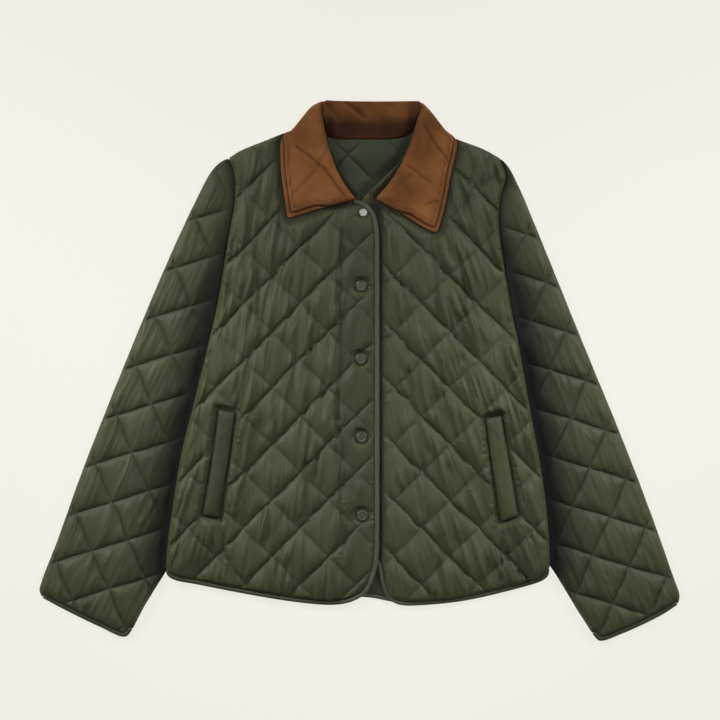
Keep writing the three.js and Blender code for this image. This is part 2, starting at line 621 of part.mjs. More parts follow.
// Bindings: a flat bead along a bound edge, its inner side against the cloth
function binding(name, whole, turn, bottomAt, wall) {
  const path = shortOfEnds(whole);
  const inner = boundInner(path, turn, 1 - SEAM_GAP / 2 / EDGE_BINDING);
  const rings = path.map(([x, y], i) => {
    const [u, v] = inner[i];
    const z = bottomAt((x + u) / 2, (y + v) / 2);
    const at = (share, rise) => [x + (u - x) * share, y + (v - y) * share, z + rise * wall];
    const section = [at(0, 0.45), at(0.2, 0), at(1, 0), at(1, 0.85), at(0.55, 1), at(0.15, 0.85)];
    return turn > 0 ? section : reversed(section);
  });
  addPiece(name, tube(rings), BINDING_CLOTH);
}
binding('binding_back_hem', boundPath.back, 1, bodyLift, PLAIN_WALL);
binding('binding_front_right', boundPath.R, 1,
  (x, y) => frontBase(x, y) + lapLift(x), PLAIN_WALL + 1.2);
binding('binding_front_left', boundPath.L, -1, frontBase, PLAIN_WALL);

// A cuff's binding is one band round the open end of the sleeve
function cuffBinding(s, word) {
  const { cuff: whole, turn } = sleeves[s];
  const cuff = shortOfEnds(whole);
  const inner = offset(cuff, turn * (CUFF_BINDING - SEAM_GAP / 2));
  const low = cuff.map(() => [0, UNDER_WALL]);
  const high = cuff.map(() => [SLEEVE_BASE, SLEEVE_BASE + SEAM_WALL + 0.7]);
  const stations = [
    ...cuff.map((p, i) => ({ outer: p, inner: inner[i], z: high[i] })),
    ...cuff.map((p, i) => ({ outer: p, inner: inner[i], z: low[i], flip: true })).reverse(),
  ];
  const rings = stations.map(({ outer, inner: deep, z, flip }) => {
    const [near, far] = flip ? [z[1], z[0]] : z;
    return [[...outer, near], [...deep, near], [...deep, far], [...outer, far]];
  });
  const geometry = tube(turn > 0 ? rings : rings.map(reversed), true);
  addPiece(`binding_cuff_${word}`, geometry, BINDING_CLOTH);
}
cuffBinding('R', 'right');
cuffBinding('L', 'left');

// Collar leaves: an under layer on the front, and over it the upper layer, thickest at the roll,
// where the hidden stand is folded beneath it
function leafFloor(s) {
  const { rim, base } = fronts[s];
  const lap = (x) => (s === 'R' ? lapLift(x) : 0);
  return (x, y) => (inside(rim, x, y) ? base(x, y) : frontBase(x, y) + lap(x)) + PLAIN_WALL + LEAF_GAP;
}

function rollHeight(y) {
  return ROLL_HEIGHT_TIP + (ROLL_HEIGHT_BACK - ROLL_HEIGHT_TIP) * smoothStep((y - 215) / 110);
}

function leaf(s, word) {
  const floor = leafFloor(s);
  const outer = leafShape[s];
  const coarse = [{ points: rampPoints, room: 11 }, { points: offset(outer, 12, true), room: 11 },
    { points: gridPoints(24), room: 14 }];
  const underTop = (x, y) => floor(x, y) + LEAF_UNDER_WALL;
  addPiece(`collar_under_${word}`, sheet(outer, coarse, coarse, underTop, floor), COLLAR_CLOTH);
  const rim = outer.map(([x, y], i) => {
    const [nx, ny] = normalAt(outer, i, true);
    const fromRoll = distanceTo(rollLine[s], x, y, false);
    const short = SEAM_GAP + LEAF_RIM * smoothStep((fromRoll - 30) / 20) * smoothStep((LEAF_SIDE_TOP - y) / 20);
    return [x + nx * short, y + ny * short];
  });
  const bottom = (x, y) => underTop(x, y) + LAYER_GAP;
  const top = (x, y) => {
    const d = distanceTo(rim, x, y);
    const roll = distanceTo(rollLine[s], x, y, false);
    const wall = LEAF_EDGE_WALL + (LEAF_WALL - LEAF_EDGE_WALL) * roundEdge(d * 2);
    const rise = (rollHeight(y) - bottom(x, y) - LEAF_WALL) * Math.exp(-((roll / ROLL_REACH) ** 2));
    return bottom(x, y) + wall + Math.max(0, rise) * (0.62 + 0.38 * roundEdge(d * 1.4));
  };
  const rings = [2.5, 7, 16, 28].flatMap((d) => offset(rim, d, true));
  addPiece(`collar_leaf_${word}`, sheet(rim, [{ points: rings, room: 5 }, { points: gridPoints(13), room: 9 }],
    coarse, top, bottom), COLLAR_CLOTH);
}
leaf('R', 'right');
leaf('L', 'left');

// Collar stand: from the neck seam at the back up to the roll, between the two leaves
const standSeam = neck.back.filter(([x]) => x > -42 && x < 63);
const rollTop = curve([[-46, 345], [16, 346], [79, 343]], 10);
const sideOf = (line) => line.filter(([, y]) => y > 306);
const standRim = inset(join(rollTop, sideOf(rollLine.L), reversed(standSeam), reversed(sideOf(rollLine.R))),
  SEAM_GAP);
const STAND_FOOT = FALL_LIFT + PLAIN_WALL;
const standTop = (x, y) => STAND_FOOT
  + (ROLL_HEIGHT_BACK - STAND_FOOT) * Math.sin(Math.PI / 2 * clamp01((y - 296) / 46)) ** 1.15;
const standBottom = (x, y) => standTop(x, y) - STAND_WALL;
const standPoints = [{ points: offset(standRim, 4, true), room: 4 }, { points: gridPoints(11), room: 7 }];
addPiece('collar_stand', sheet(standRim, standPoints, standPoints, standTop, standBottom), COLLAR_CLOTH);

// Collar fall: folded down behind the stand, under the neck of the back
const fallRim = inset(FALL, SEAM_GAP);
const fallRise = (x, y) => smoothStep(1 - distanceTo(fallTop, x, y, false) / FALL_ROLL)
  * smoothStep((awayFrom(bodyOutline, x, y) - 3) / 5);
const fallTopAt = (x, y) => {
  const leafLimit = frontBase(x, y) + PLAIN_WALL;
  const amidLeaves = smoothStep((x - rollTop[0][0] - 4) / 8) * smoothStep((rollTop.at(-1)[0] - 4 - x) / 8);
  const limit = leafLimit + (standBottom(x, y) - LAYER_GAP - leafLimit) * amidLeaves;
  return FALL_WALL + (limit - FALL_WALL) * fallRise(x, y);
};
const fallPoints = [{ points: [...shoulder.R, ...shoulder.L, ...neck.back], room: 5 },
  { points: offset(fallRim, 4, true), room: 4 }, { points: offset(fallRim, 9, true), room: 5 },
  { points: gridPoints(24), room: 12 }];
addPiece('collar_fall', sheet(fallRim, fallPoints, [{ points: offset(fallRim, 7, true), room: 7 }],
  fallTopAt, (x, y) => 2 * fallRise(x, y)), COLLAR_CLOTH);

// Pocket welts, on the flattened cloth of each front
function welt(s, word) {
  const rim = weltShape[s];
  const under = (x, y) => fronts[s].base(x, y) + PLAIN_WALL + WELT_GAP;
  const top = (x, y) => under(x, y) + WELT_EDGE
    + (WELT_WALL - WELT_EDGE) * Math.sqrt(smoothStep(distanceTo(rim, x, y) / 8));
  const ring = [...offset(rim, 2.6, true), ...offset(rim, 7, true)];
  addPiece(`welt_${word}`, sheet(rim, [{ points: ring, room: 4 }, { points: gridPoints(11), room: 5 }],
    [{ points: offset(rim, 8, true), room: 8 }], top, under), CLOTH);
}
welt('R', 'right');
welt('L', 'left');

// Snap caps: turned, with a rolled rim and a dished middle
for (const { name, x, y, radius: r, tone } of SNAPS) {
  const dish = SNAP_CAP - 0.4;
  const profile = [[0, 0], [r, 0.3], [r, 1.7], [r * 0.85, SNAP_CAP], [r * 0.6, dish], [0, dish]];
  const cap = new THREE.LatheGeometry(profile.map(([u, v]) => new THREE.Vector2(u, v)), 14);
  cap.deleteAttribute('uv');
  cap.deleteAttribute('normal');
  const mesh = addPiece(name, cap, { color: tone, roughness: 0.35, metalness: 0.8 });
  mesh.rotation.x = Math.PI / 2;
  mesh.position.set(x, y, fronts.R.base(x, y) + PLAIN_WALL + SEAM_GAP);
}

export default group;
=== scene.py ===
# %% [markdown]
# # A quilted jacket laid flat, front up
#
# The jacket lies on a pale surface and is seen from straight above. Lengths here are millimetres
# until a mesh is made, and every mesh is made in metres, in the frame of the solids.

# %% Load the frame
import math

import bpy
import numpy as np
from mathutils.bvhtree import BVHTree
from mathutils.geometry import delaunay_2d_cdt
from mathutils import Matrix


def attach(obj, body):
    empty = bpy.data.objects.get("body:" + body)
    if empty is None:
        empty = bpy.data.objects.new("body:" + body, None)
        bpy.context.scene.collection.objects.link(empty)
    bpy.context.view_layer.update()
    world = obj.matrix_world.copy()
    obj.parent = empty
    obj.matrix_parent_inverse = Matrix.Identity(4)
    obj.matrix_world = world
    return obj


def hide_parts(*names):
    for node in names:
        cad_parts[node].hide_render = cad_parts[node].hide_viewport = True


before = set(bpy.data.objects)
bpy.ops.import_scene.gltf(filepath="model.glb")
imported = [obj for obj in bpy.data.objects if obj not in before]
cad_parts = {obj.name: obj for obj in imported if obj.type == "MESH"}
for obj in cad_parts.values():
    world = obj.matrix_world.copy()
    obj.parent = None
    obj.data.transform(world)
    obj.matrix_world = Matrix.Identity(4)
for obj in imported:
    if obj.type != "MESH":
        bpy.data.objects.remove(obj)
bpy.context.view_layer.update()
MM = 0.001
print("solids:", len(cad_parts))

# %% [markdown]
# ## The cut
#
# A jacket begins as flat pieces cut from cloth, so the scene begins with the outlines of those pieces.
# An outline could be drawn as a long polyline, but a short row of points with a smooth curve through
# them is easier to move and never shows a corner that the cloth has not got. R is the wearer's right,
# which is the left of the picture.

# %% Outlines
PLACE = np.array([0.5, -0.3])
ARMHOLE = {
    "R": [(-168, 272), (-161, 248), (-161, 214), (-167, 180), (-182, 91), (-194, 33)],
    "L": [(179, 272), (187, 248), (180, 222), (178, 190), (192, 91), (203, 33)],
}
SIDE = {
    "R": [(-194, 33), (-211, -37), (-227, -101), (-238, -165), (-246, -223), (-248, -252)],
    "L": [(203, 33), (215, -37), (227, -101), (237, -165), (242, -223), (242, -252)],
}
SHOULDER = {
    "R": [(-168, 272), (-154, 281), (-115, 297), (-77, 311), (-51, 318)],
    "L": [(68, 318), (90, 311), (122, 297), (157, 284), (179, 272)],
}
NECK = {
    "R": [(-51, 318), (-52, 298), (-47, 274), (-34, 246), (-19, 226), (-9, 220)],
    "L": [(68, 318), (62, 290), (49, 266), (28, 246), (8, 226), (-6, 204), (-10, 180)],
}
NECK_BACK = [(-51, 318), (-47, 305), (-36, 298), (8, 296), (51, 298), (63, 305), (68, 318)]
HEM = {
    "R": [(-248, -252), (-246, -261), (-237, -267), (-205, -274), (-102, -293), (-51, -299), (-28, -299),
          (-8, -294), (8, -284), (19, -262), (24, -236), (25, -204)],
    "L": [(242, -252), (240, -262), (231, -269), (180, -284), (128, -295), (77, -300), (54, -300),
          (42, -296), (33, -287), (27, -271), (20, -246), (4, -220), (-6, -198), (-10, -165)],
    "back": [(-248, -252), (-246, -259), (-237, -264), (-205, -271), (-102, -287), (-51, -290), (9, -290),
             (54, -297), (128, -291), (180, -281), (231, -266), (240, -260), (242, -252)],
}
LAP = {"R": [(25, -204), (25, 167)], "L": [(-10, -165), (-10, 180)]}
LAP_TOP = [(25, 167), (23.5, 184), (19.5, 200), (13, 210), (3, 216.5), (-9, 220)]
SLEEVE_OUT = {
    "R": [(-168, 272), (-180, 266), (-191, 254), (-207, 224), (-243, 147), (-301, 9), (-356, -130),
          (-389, -222), (-407, -268), (-410, -281), (-406, -290)],
    "L": [(179, 272), (189, 262), (202, 238), (227, 179), (283, 41), (340, -98), (375, -190),
          (401, -264), (409, -288), (406, -299)],
}
CUFF = {
    "R": [(-406, -290), (-384, -302), (-333, -327), (-300, -340), (-291, -331)],
    "L": [(406, -299), (384, -313), (335, -336), (306, -345), (297, -336)],
}
SLEEVE_IN = {
    "R": [(-291, -331), (-274, -299), (-248, -257), (-210, -195), (-169, -117), (-150, -50),
          (-157, -12), (-194, 33)],
    "L": [(297, -336), (280, -310), (252, -264), (206, -194), (166, -117), (148, -50), (156, -12),
          (203, 33)],
}
LEAF = {
    "R": [(-5, 219), (-26, 213), (-51, 207), (-80, 198), (-92, 195.5), (-94, 205), (-97, 225), (-101, 260),
          (-99, 300), (-88, 307), (-77, 320), (-61, 338), (-46, 345)],
    "L": [(19, 220), (51, 202), (86, 180.5), (97.5, 176.5), (101, 184), (107, 204), (116, 251), (123, 294),
          (109, 308), (90, 332), (79, 343)],
}
ROLL = {
    "R": [(-46, 345), (-47, 327), (-42, 295), (-31, 261), (-17, 235), (-5, 219)],
    "L": [(79, 343), (72, 320), (65, 294), (52, 264), (36, 239), (19, 220)],
}
ROLL_BACK = [(-46, 345), (-38, 344), (16, 342.8), (70, 343.2), (79, 343)]
FALL_LOW = [(-92, 282), (-40, 277), (9, 275), (70, 277), (116, 282)]
WELT = {
    "R": {"sewn": [(-159, -53), (-166, -105), (-180, -188)], "free": [(-180, -49), (-189, -115), (-201, -184)]},
    "L": {"sewn": [(160, -61), (168, -120), (180, -193)], "free": [(180, -57), (190, -115), (202, -185)]},
}
# Snaps down the lap: x, y, radius, and whether the metal is pale
SNAPS = [(4.3, 202, 5.2, True), (1.4, 108, 7, False), (1.2, 15, 7, False), (2, -85, 7, False), (3, -185, 7, False)]

# %% [markdown]
# ## How thick each layer is
#
# Quilted cloth is thickest amid its diamonds and thinnest where it is sewn, and every layer lies on the
# one below. These heights could be found by casting rays at the finished meshes. Named numbers are
# used instead, because they are the same on each run and one change reaches every piece.

# %% Walls, gaps and heights
SEAM_GAP, LAYER_GAP = 0.3, 0.5
PLAIN_WALL, SEAM_WALL, UNDER_WALL, TUCK_WALL = 2.1, 1.9, 3.0, 3.6
VALLEY_WALL, CREST_WALL = 2.6, 6.2
EDGE_ROUND, ARCH, ARCH_REACH = 10, 2.6, 60
QUILT_SIDE, QUILT_AXIS_X, QUILT_NODE = 50.7, 1.3, (6.4, 85.4)
SLEEVE_BASE = UNDER_WALL + LAYER_GAP
TUCK_LIFT, TUCK_RAMP = SLEEVE_BASE + TUCK_WALL + LAYER_GAP, 36
FALL_WALL, FALL_RAMP = 2.2, 24
FALL_LIFT = FALL_WALL + LAYER_GAP
LAP_EDGE_X, LAP_RAMP_X = 25, (-34, -14)
LAP_LIFT = PLAIN_WALL + LAYER_GAP
EDGE_BINDING, HEM_BINDING, CUFF_BINDING = 5.6, 4.4, 4.4
LEAF_GAP, LEAF_UNDER_WALL, LEAF_EDGE_WALL, LEAF_WALL = 0.8, 1.8, 1.8, 3.4
LEAF_RIM, LEAF_SIDE_TOP, ROLL_REACH = 5.6, 305, 30
ROLL_HEIGHT_TIP, ROLL_HEIGHT_BACK = 17, 25
STAND_WALL, STAND_FOOT = 2.6, FALL_LIFT + PLAIN_WALL

# %% [markdown]
# ## Plane geometry
#
# Nearly every form here is worked out from a distance: how far a point lies from a seam, an edge or a
# crease. Bevel and shrinkwrap modifiers can round an edge too. A distance was chosen because it works
# on any outline and lets a fold fade out exactly where the cloth flattens.

# %% Curves, distances and offsets
def curve(points, step=4.5):
    """Points about a step apart along a smooth curve through the given ones."""
    knots = np.array(points, float)
    if len(knots) == 2:
        dense = knots[0] + (knots[1] - knots[0]) * np.linspace(0, 1, 200)[:, None]
    else:
        padded = np.vstack([2 * knots[0] - knots[1], knots, 2 * knots[-1] - knots[-2]])
        dense = np.vstack([span(*padded[i:i + 4]) for i in range(len(padded) - 3)] + [knots[-1:]])
    along = np.r_[0, np.cumsum(np.linalg.norm(np.diff(dense, axis=0), axis=1))]
    count = max(4, math.ceil(along[-1] / step))
    marks = np.linspace(0, along[-1], count + 1)
    return np.column_stack([np.interp(marks, along, dense[:, 0]), np.interp(marks, along, dense[:, 1])])


def span(before, start, end, after):
    """One stretch of a centripetal curve, from start up to end."""
    a, b, c = (math.sqrt(np.linalg.norm(q - p)) for p, q in ((before, start), (start, end), (end, after)))
    leave = ((start - before) / a - (end - before) / (a + b) + (end - start) / b) * b
    arrive = ((end - start) / b - (after - start) / (b + c) + (after - end) / c) * b
    t = np.linspace(0, 1, 40, endpoint=False)[:, None]
    return ((2 * t**3 - 3 * t**2 + 1) * start + (t**3 - 2 * t**2 + t) * leave
            + (3 * t**2 - 2 * t**3) * end + (t**3 - t**2) * arrive)


def chain(*stretches):
    """Stretches end to end, without crowded points."""
    points = np.vstack(stretches)
    keep = [points[0]]
    for p in points[1:]:
        if np.linalg.norm(p - keep[-1]) > 1.2:
            keep.append(p)
    return np.array(keep)


def joined(*stretches):
    """Stretches end to end as a closed outline that runs to the left."""
    outline = chain(*stretches)
    if np.linalg.norm(outline[0] - outline[-1]) < 1.2:
        outline = outline[:-1]
    return outline if area_of(outline) > 0 else outline[::-1]


def area_of(outline):
    x, y = outline.T
    return 0.5 * np.sum(x * np.roll(y, -1) - np.roll(x, -1) * y)


def distance(points, line, closed=True):
    """How far each point is from a line of points."""
    ends = np.roll(line, -1, axis=0) if closed else line[1:]
    starts = line if closed else line[:-1]
    best = np.full(len(points), np.inf)
    for a, b in zip(starts, ends):
        d = b - a
        t = np.clip(((points - a) @ d) / (d @ d), 0, 1)
        best = np.minimum(best, np.hypot(*(points - a - t[:, None] * d).T))
    return best


def inside(points, outline):
    odd = np.zeros(len(points), bool)
    x, y = points.T
    for (ax, ay), (bx, by) in zip(outline, np.roll(outline, -1, axis=0)):
        if ay != by:
            odd ^= ((ay > y) != (by > y)) & (x < (bx - ax) * (y - ay) / (by - ay) + ax)
    return odd


def away_from(points, outline):
    return np.where(inside(points, outline), 0, distance(points, outline))


def offset(line, reach, closed=False):
    """The line moved to its left."""
    if closed:
        along = np.roll(line, -1, axis=0) - np.roll(line, 1, axis=0)
    else:
        along = np.gradient(line, axis=0)
    along = along / np.linalg.norm(along, axis=1)[:, None]
    return line + np.column_stack([-along[:, 1], along[:, 0]]) * np.reshape(reach, (-1, 1))


def inset(outline, reach):
    """The outline moved inwards, without the loops that this makes at corners."""
    reach = np.broadcast_to(reach, len(outline))
    moved = offset(outline, reach, closed=True)
    return joined(moved[distance(moved, outline) > 0.85 * reach])


def smooth(t):
    t = np.clip(t, 0, 1)
    return t * t * (3 - 2 * t)


def ripple(points, wave, seed):
    """Slow unevenness between -1 and 1, the same on every run."""
    x, y = points.T / wave
    return (np.sin(1.3 * x + 0.7 * y + seed) + np.sin(-0.8 * x + 1.7 * y + 2.1 * seed)
            + np.sin(2.3 * x - 1.1 * y + 0.6 * seed) + np.sin(0.4 * x - 2.6 * y + 3.3 * seed)) / 4


# %% [markdown]
# ## Shared seams
#
# Two pieces that are sewn together share one seam line. Points could be snapped together after
# modelling, but that drags the cloth. Here both pieces are made from the same curve, so the seam is
# closed from the start. The binding narrows to nothing where a hem runs into a side seam.

# %% Rims that several pieces share
armhole = {s: curve(ARMHOLE[s]) for s in "RL"}
side = {s: curve(SIDE[s]) for s in "RL"}
shoulder = {s: curve(SHOULDER[s]) for s in "RL"}
neck = {s: curve(NECK[s]) for s in "RL"}
neck_back = curve(NECK_BACK)
hem = {s: curve(HEM[s], 3.5) for s in ("R", "L", "back")}
sleeve_in = {s: curve(SLEEVE_IN[s]) for s in "RL"}
roll = {s: curve(ROLL[s], 3) for s in "RL"}
leaf_line = {s: curve(LEAF[s], 3) for s in "RL"}
leaf_shape = {s: joined(leaf_line[s], roll[s]) for s in "RL"}
bound = {
    "R": np.vstack([hem["R"][:-1], curve(LAP["R"])[:-1], curve(LAP_TOP, 3)]),
    "L": np.vstack([hem["L"][:-1], curve(LAP["L"])]),
    "back": hem["back"],
}
body = joined(armhole["R"][::-1], shoulder["R"], neck_back, shoulder["L"], armhole["L"], side["L"],
              hem["back"][::-1], side["R"][::-1])


def binding_width(points):
    return HEM_BINDING + (EDGE_BINDING - HEM_BINDING) * smooth((points[:, 1] + 290) / 40)


def bound_inner(path, turn, share=1.0):
    """The inner line of a binding, which runs out to nothing at the side seams."""
    from_ends = np.hypot(*(path - [-248, -252]).T), np.hypot(*(path - [242, -252]).T)
    return offset(path, (0.3 + 0.7 * smooth(np.minimum(*from_ends) / 14)) * binding_width(path) * turn * share)


def welt_outline(s):
    sewn, free = WELT[s]["sewn"], WELT[s]["free"]
    return joined(curve([free[0], sewn[0]]), curve(sewn), curve([sewn[-1], free[-1]]), curve(free)[::-1])


welt_shape = {s: welt_outline(s) for s in "RL"}
tuck = {s: joined(sleeve_in[s][inside(sleeve_in[s], body)], side[s]) for s in "RL"}
fall_top = chain(curve(LEAF["R"][8:]), curve(ROLL_BACK), curve(LEAF["L"][7:])[::-1])
fall = joined(curve(FALL_LOW)[::-1], fall_top)
neck_opening = joined(neck["R"], neck["L"][::-1], neck_back[::-1])
print("body outline:", len(body), "points")

# %% [markdown]
# ## What lies on what
#
# The back lies on the surface, the fronts lie on the back, and the wearer's right front laps over the
# left one. Physics could drop the layers on each other, but thin layers slip through one another in a
# simulation. A height function for each layer keeps them apart and still lets them rise softly.

# %% Heights of the layers
def body_lift(p):
    """The height of the surface that the back lies on."""
    near = np.minimum(away_from(p, tuck["R"]), away_from(p, tuck["L"]))
    on_sleeve = TUCK_LIFT * smooth(1 - np.maximum(0, near - 2) / TUCK_RAMP)
    on_fall = FALL_LIFT * smooth(1 - np.maximum(0, away_from(p, fall) - 2) / FALL_RAMP)
    return np.maximum(on_sleeve, on_fall)


def back_height(p):
    shows = np.where(inside(p, neck_opening), smooth((distance(p, neck_opening) - 3) / 9), 0)
    return body_lift(p) + PLAIN_WALL + shows * 4.2 * pillow(QUILTS["back"], p)


def lap_lift(p):
    return LAP_LIFT * smooth((p[:, 0] - LAP_RAMP_X[0]) / (LAP_RAMP_X[1] - LAP_RAMP_X[0]))


def front_base(p):
    return body_lift(p) + PLAIN_WALL + LAYER_GAP


def edge_rise(d, reach=EDGE_ROUND):
    return np.sqrt(1 - (1 - np.clip(d / reach, 0, 1)) ** 2)


# %% [markdown]
# ## Sewn lines
#
# Quilting is two families of straight seams through cloth and wadding. A texture could imitate it, but
# only real points along the seams let the cloth swell between them. On worn cloth the lines waver a
# little. On each front one family is sewn shallower than the other and gets less painted shade in its
# grooves, so the other shows as the bolder, as it would under light raking from that front's side.

# %% Quilt lattices
def waver(p):
    """How far worn cloth has drawn its sewn lines out of true."""
    return np.column_stack([1.5 * ripple(p, 19, 1.3) + 1.2 * ripple(p, 41, 2.9), 1.1 * ripple(p, 26, 4.2)])


MARKS = [0, 0.035, 0.1, 0.19, 0.29, 0.39, 0.5, 0.61, 0.71, 0.81, 0.9, 0.965]


class Quilt:
    """Two families of sewn lines, each with its own tension from 0 to 1 for its depth and its painted shade."""

    def __init__(self, node, along, across, tension=(1, 1)):
        self.node = np.array(node, float)
        self.steps = np.array([along, across], float)
        self.tension = np.array(tension, float)

    def to_quilt(self, p):
        return (p + waver(p) - self.node) @ np.linalg.inv(self.steps)

    def to_plane(self, q):
        straight = self.node + q @ self.steps
        p = straight
        for _ in range(5):
            p = straight - waver(p)
        return p

    def seam_distance(self, p):
        """How far each point is from the nearest sewn line."""
        return np.min(self.line_distances(p), axis=1)

    def line_distances(self, p):
        q = self.to_quilt(p)
        return np.abs(q - np.round(q)) * QUILT_SIDE

    def groove_shade(self, p):
        """How much painted shade each point gets from the sewn lines, from 0 to 1."""
        return np.max(self.tension * np.exp(-((self.line_distances(p) / 1.1) ** 2)), axis=1)

    def points(self, outline):
        """Every crossing of a grid that crowds towards the sewn lines."""
        corners = self.to_quilt(np.array([(x, y) for x in (outline[:, 0].min(), outline[:, 0].max())
                                          for y in (outline[:, 1].min(), outline[:, 1].max())]))
        low, high = np.floor(corners.min(axis=0)), np.ceil(corners.max(axis=0))
        a, b = (np.add.outer(np.arange(low[k], high[k]), MARKS).ravel() for k in (0, 1))
        grid = np.column_stack([v.ravel() for v in np.meshgrid(a, b)])
        return self.to_plane(grid)


half = QUILT_SIDE / math.sqrt(2)
SLEEVE_ALONG, SLEEVE_ACROSS = (21.1, -48.6), (46.7, 14.1)
QUILTS = {
    "front_R": Quilt((QUILT_AXIS_X - QUILT_NODE[0], QUILT_NODE[1]), (half, half), (half, -half), (0.66, 1)),
    "front_L": Quilt((QUILT_AXIS_X + QUILT_NODE[0], QUILT_NODE[1]), (half, half), (half, -half), (1, 0.66)),
    "back": Quilt((20, 239.7), (half, half), (half, -half)),
    "sleeve_R": Quilt((-312, -56.6), SLEEVE_ALONG, SLEEVE_ACROSS),
    "sleeve_L": Quilt((313.6, -75.9), (-SLEEVE_ALONG[0], SLEEVE_ALONG[1]), (-SLEEVE_ACROSS[0], SLEEVE_ACROSS[1])),
}


def pillow(quilt, p, power=4.6):
    """Height of the padding, 0 on the sewn lines and 1 amid them."""
    q = quilt.to_quilt(p)
    rise = 1 - quilt.tension * np.abs(2 * (q - np.floor(q)) - 1) ** power
    return np.sqrt(np.prod(np.clip(rise, 0, 1), axis=1))


# %% [markdown]
# ## The main folds
#
# These are the folds that the eye finds first: the drag over each pocket, the turned-in edge of the
# lap, the gathers at the hem. Sculpting them would look good once but could not be repeated. Each one
# is a line with a width and a depth, uneven on purpose, and similar ones run where the photo hides
# them.

# %% Creases, listed one by one
# x1, y1, x2, y2, half width, depth: a trough where the depth is above 0, else a ridge
CREASES = np.array([
    (-130, 129, -133, 52, 9, 2.4), (-133, 52, -154, -31, 8, 2.2), (-154, -31, -159, -50, 7, 2.0),
    (-180, -191, -170, -240, 6, 2.4), (-170, -240, -142, -275, 6, 1.8), (-201, -188, -222, -216, 6, 1.8),
    (-222, -216, -240, -244, 5, 1.4), (-24, 155, -26, 52, 5, 3.4), (-26, 52, -29, -62, 5, 3.4),
    (-29, -62, -27, -150, 6, 1.6), (90, 174, 106, 78, 8, 1.8), (111, 91, 131, 14, 7, 2.6),
    (131, 14, 148, -34, 7, 2.4), (122, 167, 141, 103, 7, 1.8), (198, -193, 232, -226, 5, 2.2),
    (190, -194, 205, -262, 4, 2.2), (182, -197, 180, -268, 4, 2.0), (172, -200, 160, -272, 4, 1.6),
    (194, -194, 220, -255, 4, 1.8), (186, -196, 192, -268, 3.5, 1.8), (148, 270, 132, 199, 8, 2.0),
    (166, 276, 154, 238, 6, 1.8), (60, 0, 74, -70, 8, 1.4), (-60, 60, -66, -40, 8, 1.2),
    (-96, 190, -104, 120, 9, 1.4), (62, 150, 70, 60, 8, 1.2), (-70, -120, -64, -200, 8, 1.4),
    (80, -110, 88, -190, 8, 1.2), (-150, 250, -140, 180, 9, 1.6), (-300, -60, -330, -130, 12, 1.6), (300, -40, 325, -110, 12, 1.6),
])


def crease_depth(p, creases=CREASES, share=1.0):
    """How far the creases press the cloth down, each taken as a share of its real width."""
    depth = np.zeros(len(p))
    for x1, y1, x2, y2, half_width, deep in creases:
        line = np.array([(x1, y1), (x2, y2)], float)
        away = distance(p, line, closed=False)
        depth += deep * np.exp(-2 * (away / (half_width * share)) ** 2)
    return depth


def crease_points(creases=CREASES):
    """Three rows of points along each crease, so that the mesh can bend there."""
    rows = []
    for x1, y1, x2, y2, half_width, _ in creases:
        start, end = np.array([x1, y1], float), np.array([x2, y2], float)
        long = np.hypot(*(end - start))
        line = start + np.linspace(0, 1, int(long / 4.5) + 2)[:, None] * (end - start)
        aside = np.array([end[1] - start[1], start[0] - end[0]]) / long * 0.42 * half_width
        rows += [line, line - aside, line + aside]
    return np.vstack(rows)


print("creases:", len(CREASES))

# %% [markdown]
# ## From points to cloth
#
# A piece of cloth is an upper face, an under face and a narrow wall round the edge. A solidify modifier
# could thicken one face, but padded cloth isn't equally thick. Here both faces are triangulated inside
# the same outline and joined at the rim, and one level of subdivision is made real for a soft surface.

# %% Triangulated faces
def scatter(outline, candidates, room):
    """Points inside an outline that keep clear of it."""
    kept = candidates[inside(candidates, outline)]
    return kept[distance(kept, outline) > room]


def apart(points, room):
    """Leave out each point that is too near an earlier one."""
    kept = points[:1]
    for point in points[1:]:
        if np.min(np.hypot(*(kept - point).T)) > room:
            kept = np.vstack([kept, point])
    return kept


def fill(outline, inner):
    """Triangles over an outline and the points inside it, the outline's points first."""
    count = len(outline)
    points = np.vstack([outline, inner])
    rim = [(i, (i + 1) % count) for i in range(count)]
    verts, _, faces, *_ = delaunay_2d_cdt([tuple(p) for p in points], rim, [], 0, 1e-5, False)
    assert len(verts) == len(points), "the outline crosses itself"
    faces = np.array(faces, int)
    return points, faces[inside(points[faces].mean(axis=1), outline)]


def mesh_object(name, points, faces, material, smooth_faces=True):
    """An object whose points are given in millimetres."""
    mesh = bpy.data.meshes.new(name)
    placed = np.array(points, float)
    placed[:, :2] += PLACE
    mesh.from_pydata((placed * MM).tolist(), [], [tuple(int(i) for i in f) for f in faces])
    mesh.validate()
    mesh.polygons.foreach_set("use_smooth", [smooth_faces] * len(mesh.polygons))
    mesh.update()
    piece = bpy.data.objects.new(name, mesh)
    bpy.context.scene.collection.objects.link(piece)
    mesh.materials.append(material)
    return piece


def close_sheet(name, outline, upper, upper_faces, upper_z, under_at, material, under_step=16):
    """A closed sheet: the given upper face, and a plain one under it with the same rim."""
    count = len(outline)
    grid = np.stack(np.meshgrid(np.arange(-420, 421, under_step), np.arange(-350, 351, under_step)), -1)
    inner = scatter(outline, grid.reshape(-1, 2) + 0.01, under_step * 0.4)
    lower, lower_faces = fill(outline, inner)
    top = np.column_stack([upper, upper_z])
    bottom = np.column_stack([lower, under_at(lower)])
    shift = len(top)
    rim = []
    for i in range(count):
        j = (i + 1) % count
        rim.append((i, shift + i, shift + j, j))
    flipped = (lower_faces + shift)[:, ::-1]
    faces = [*map(tuple, upper_faces), *map(tuple, flipped), *rim]
    return mesh_object(name, np.vstack([top, bottom]), faces, material)


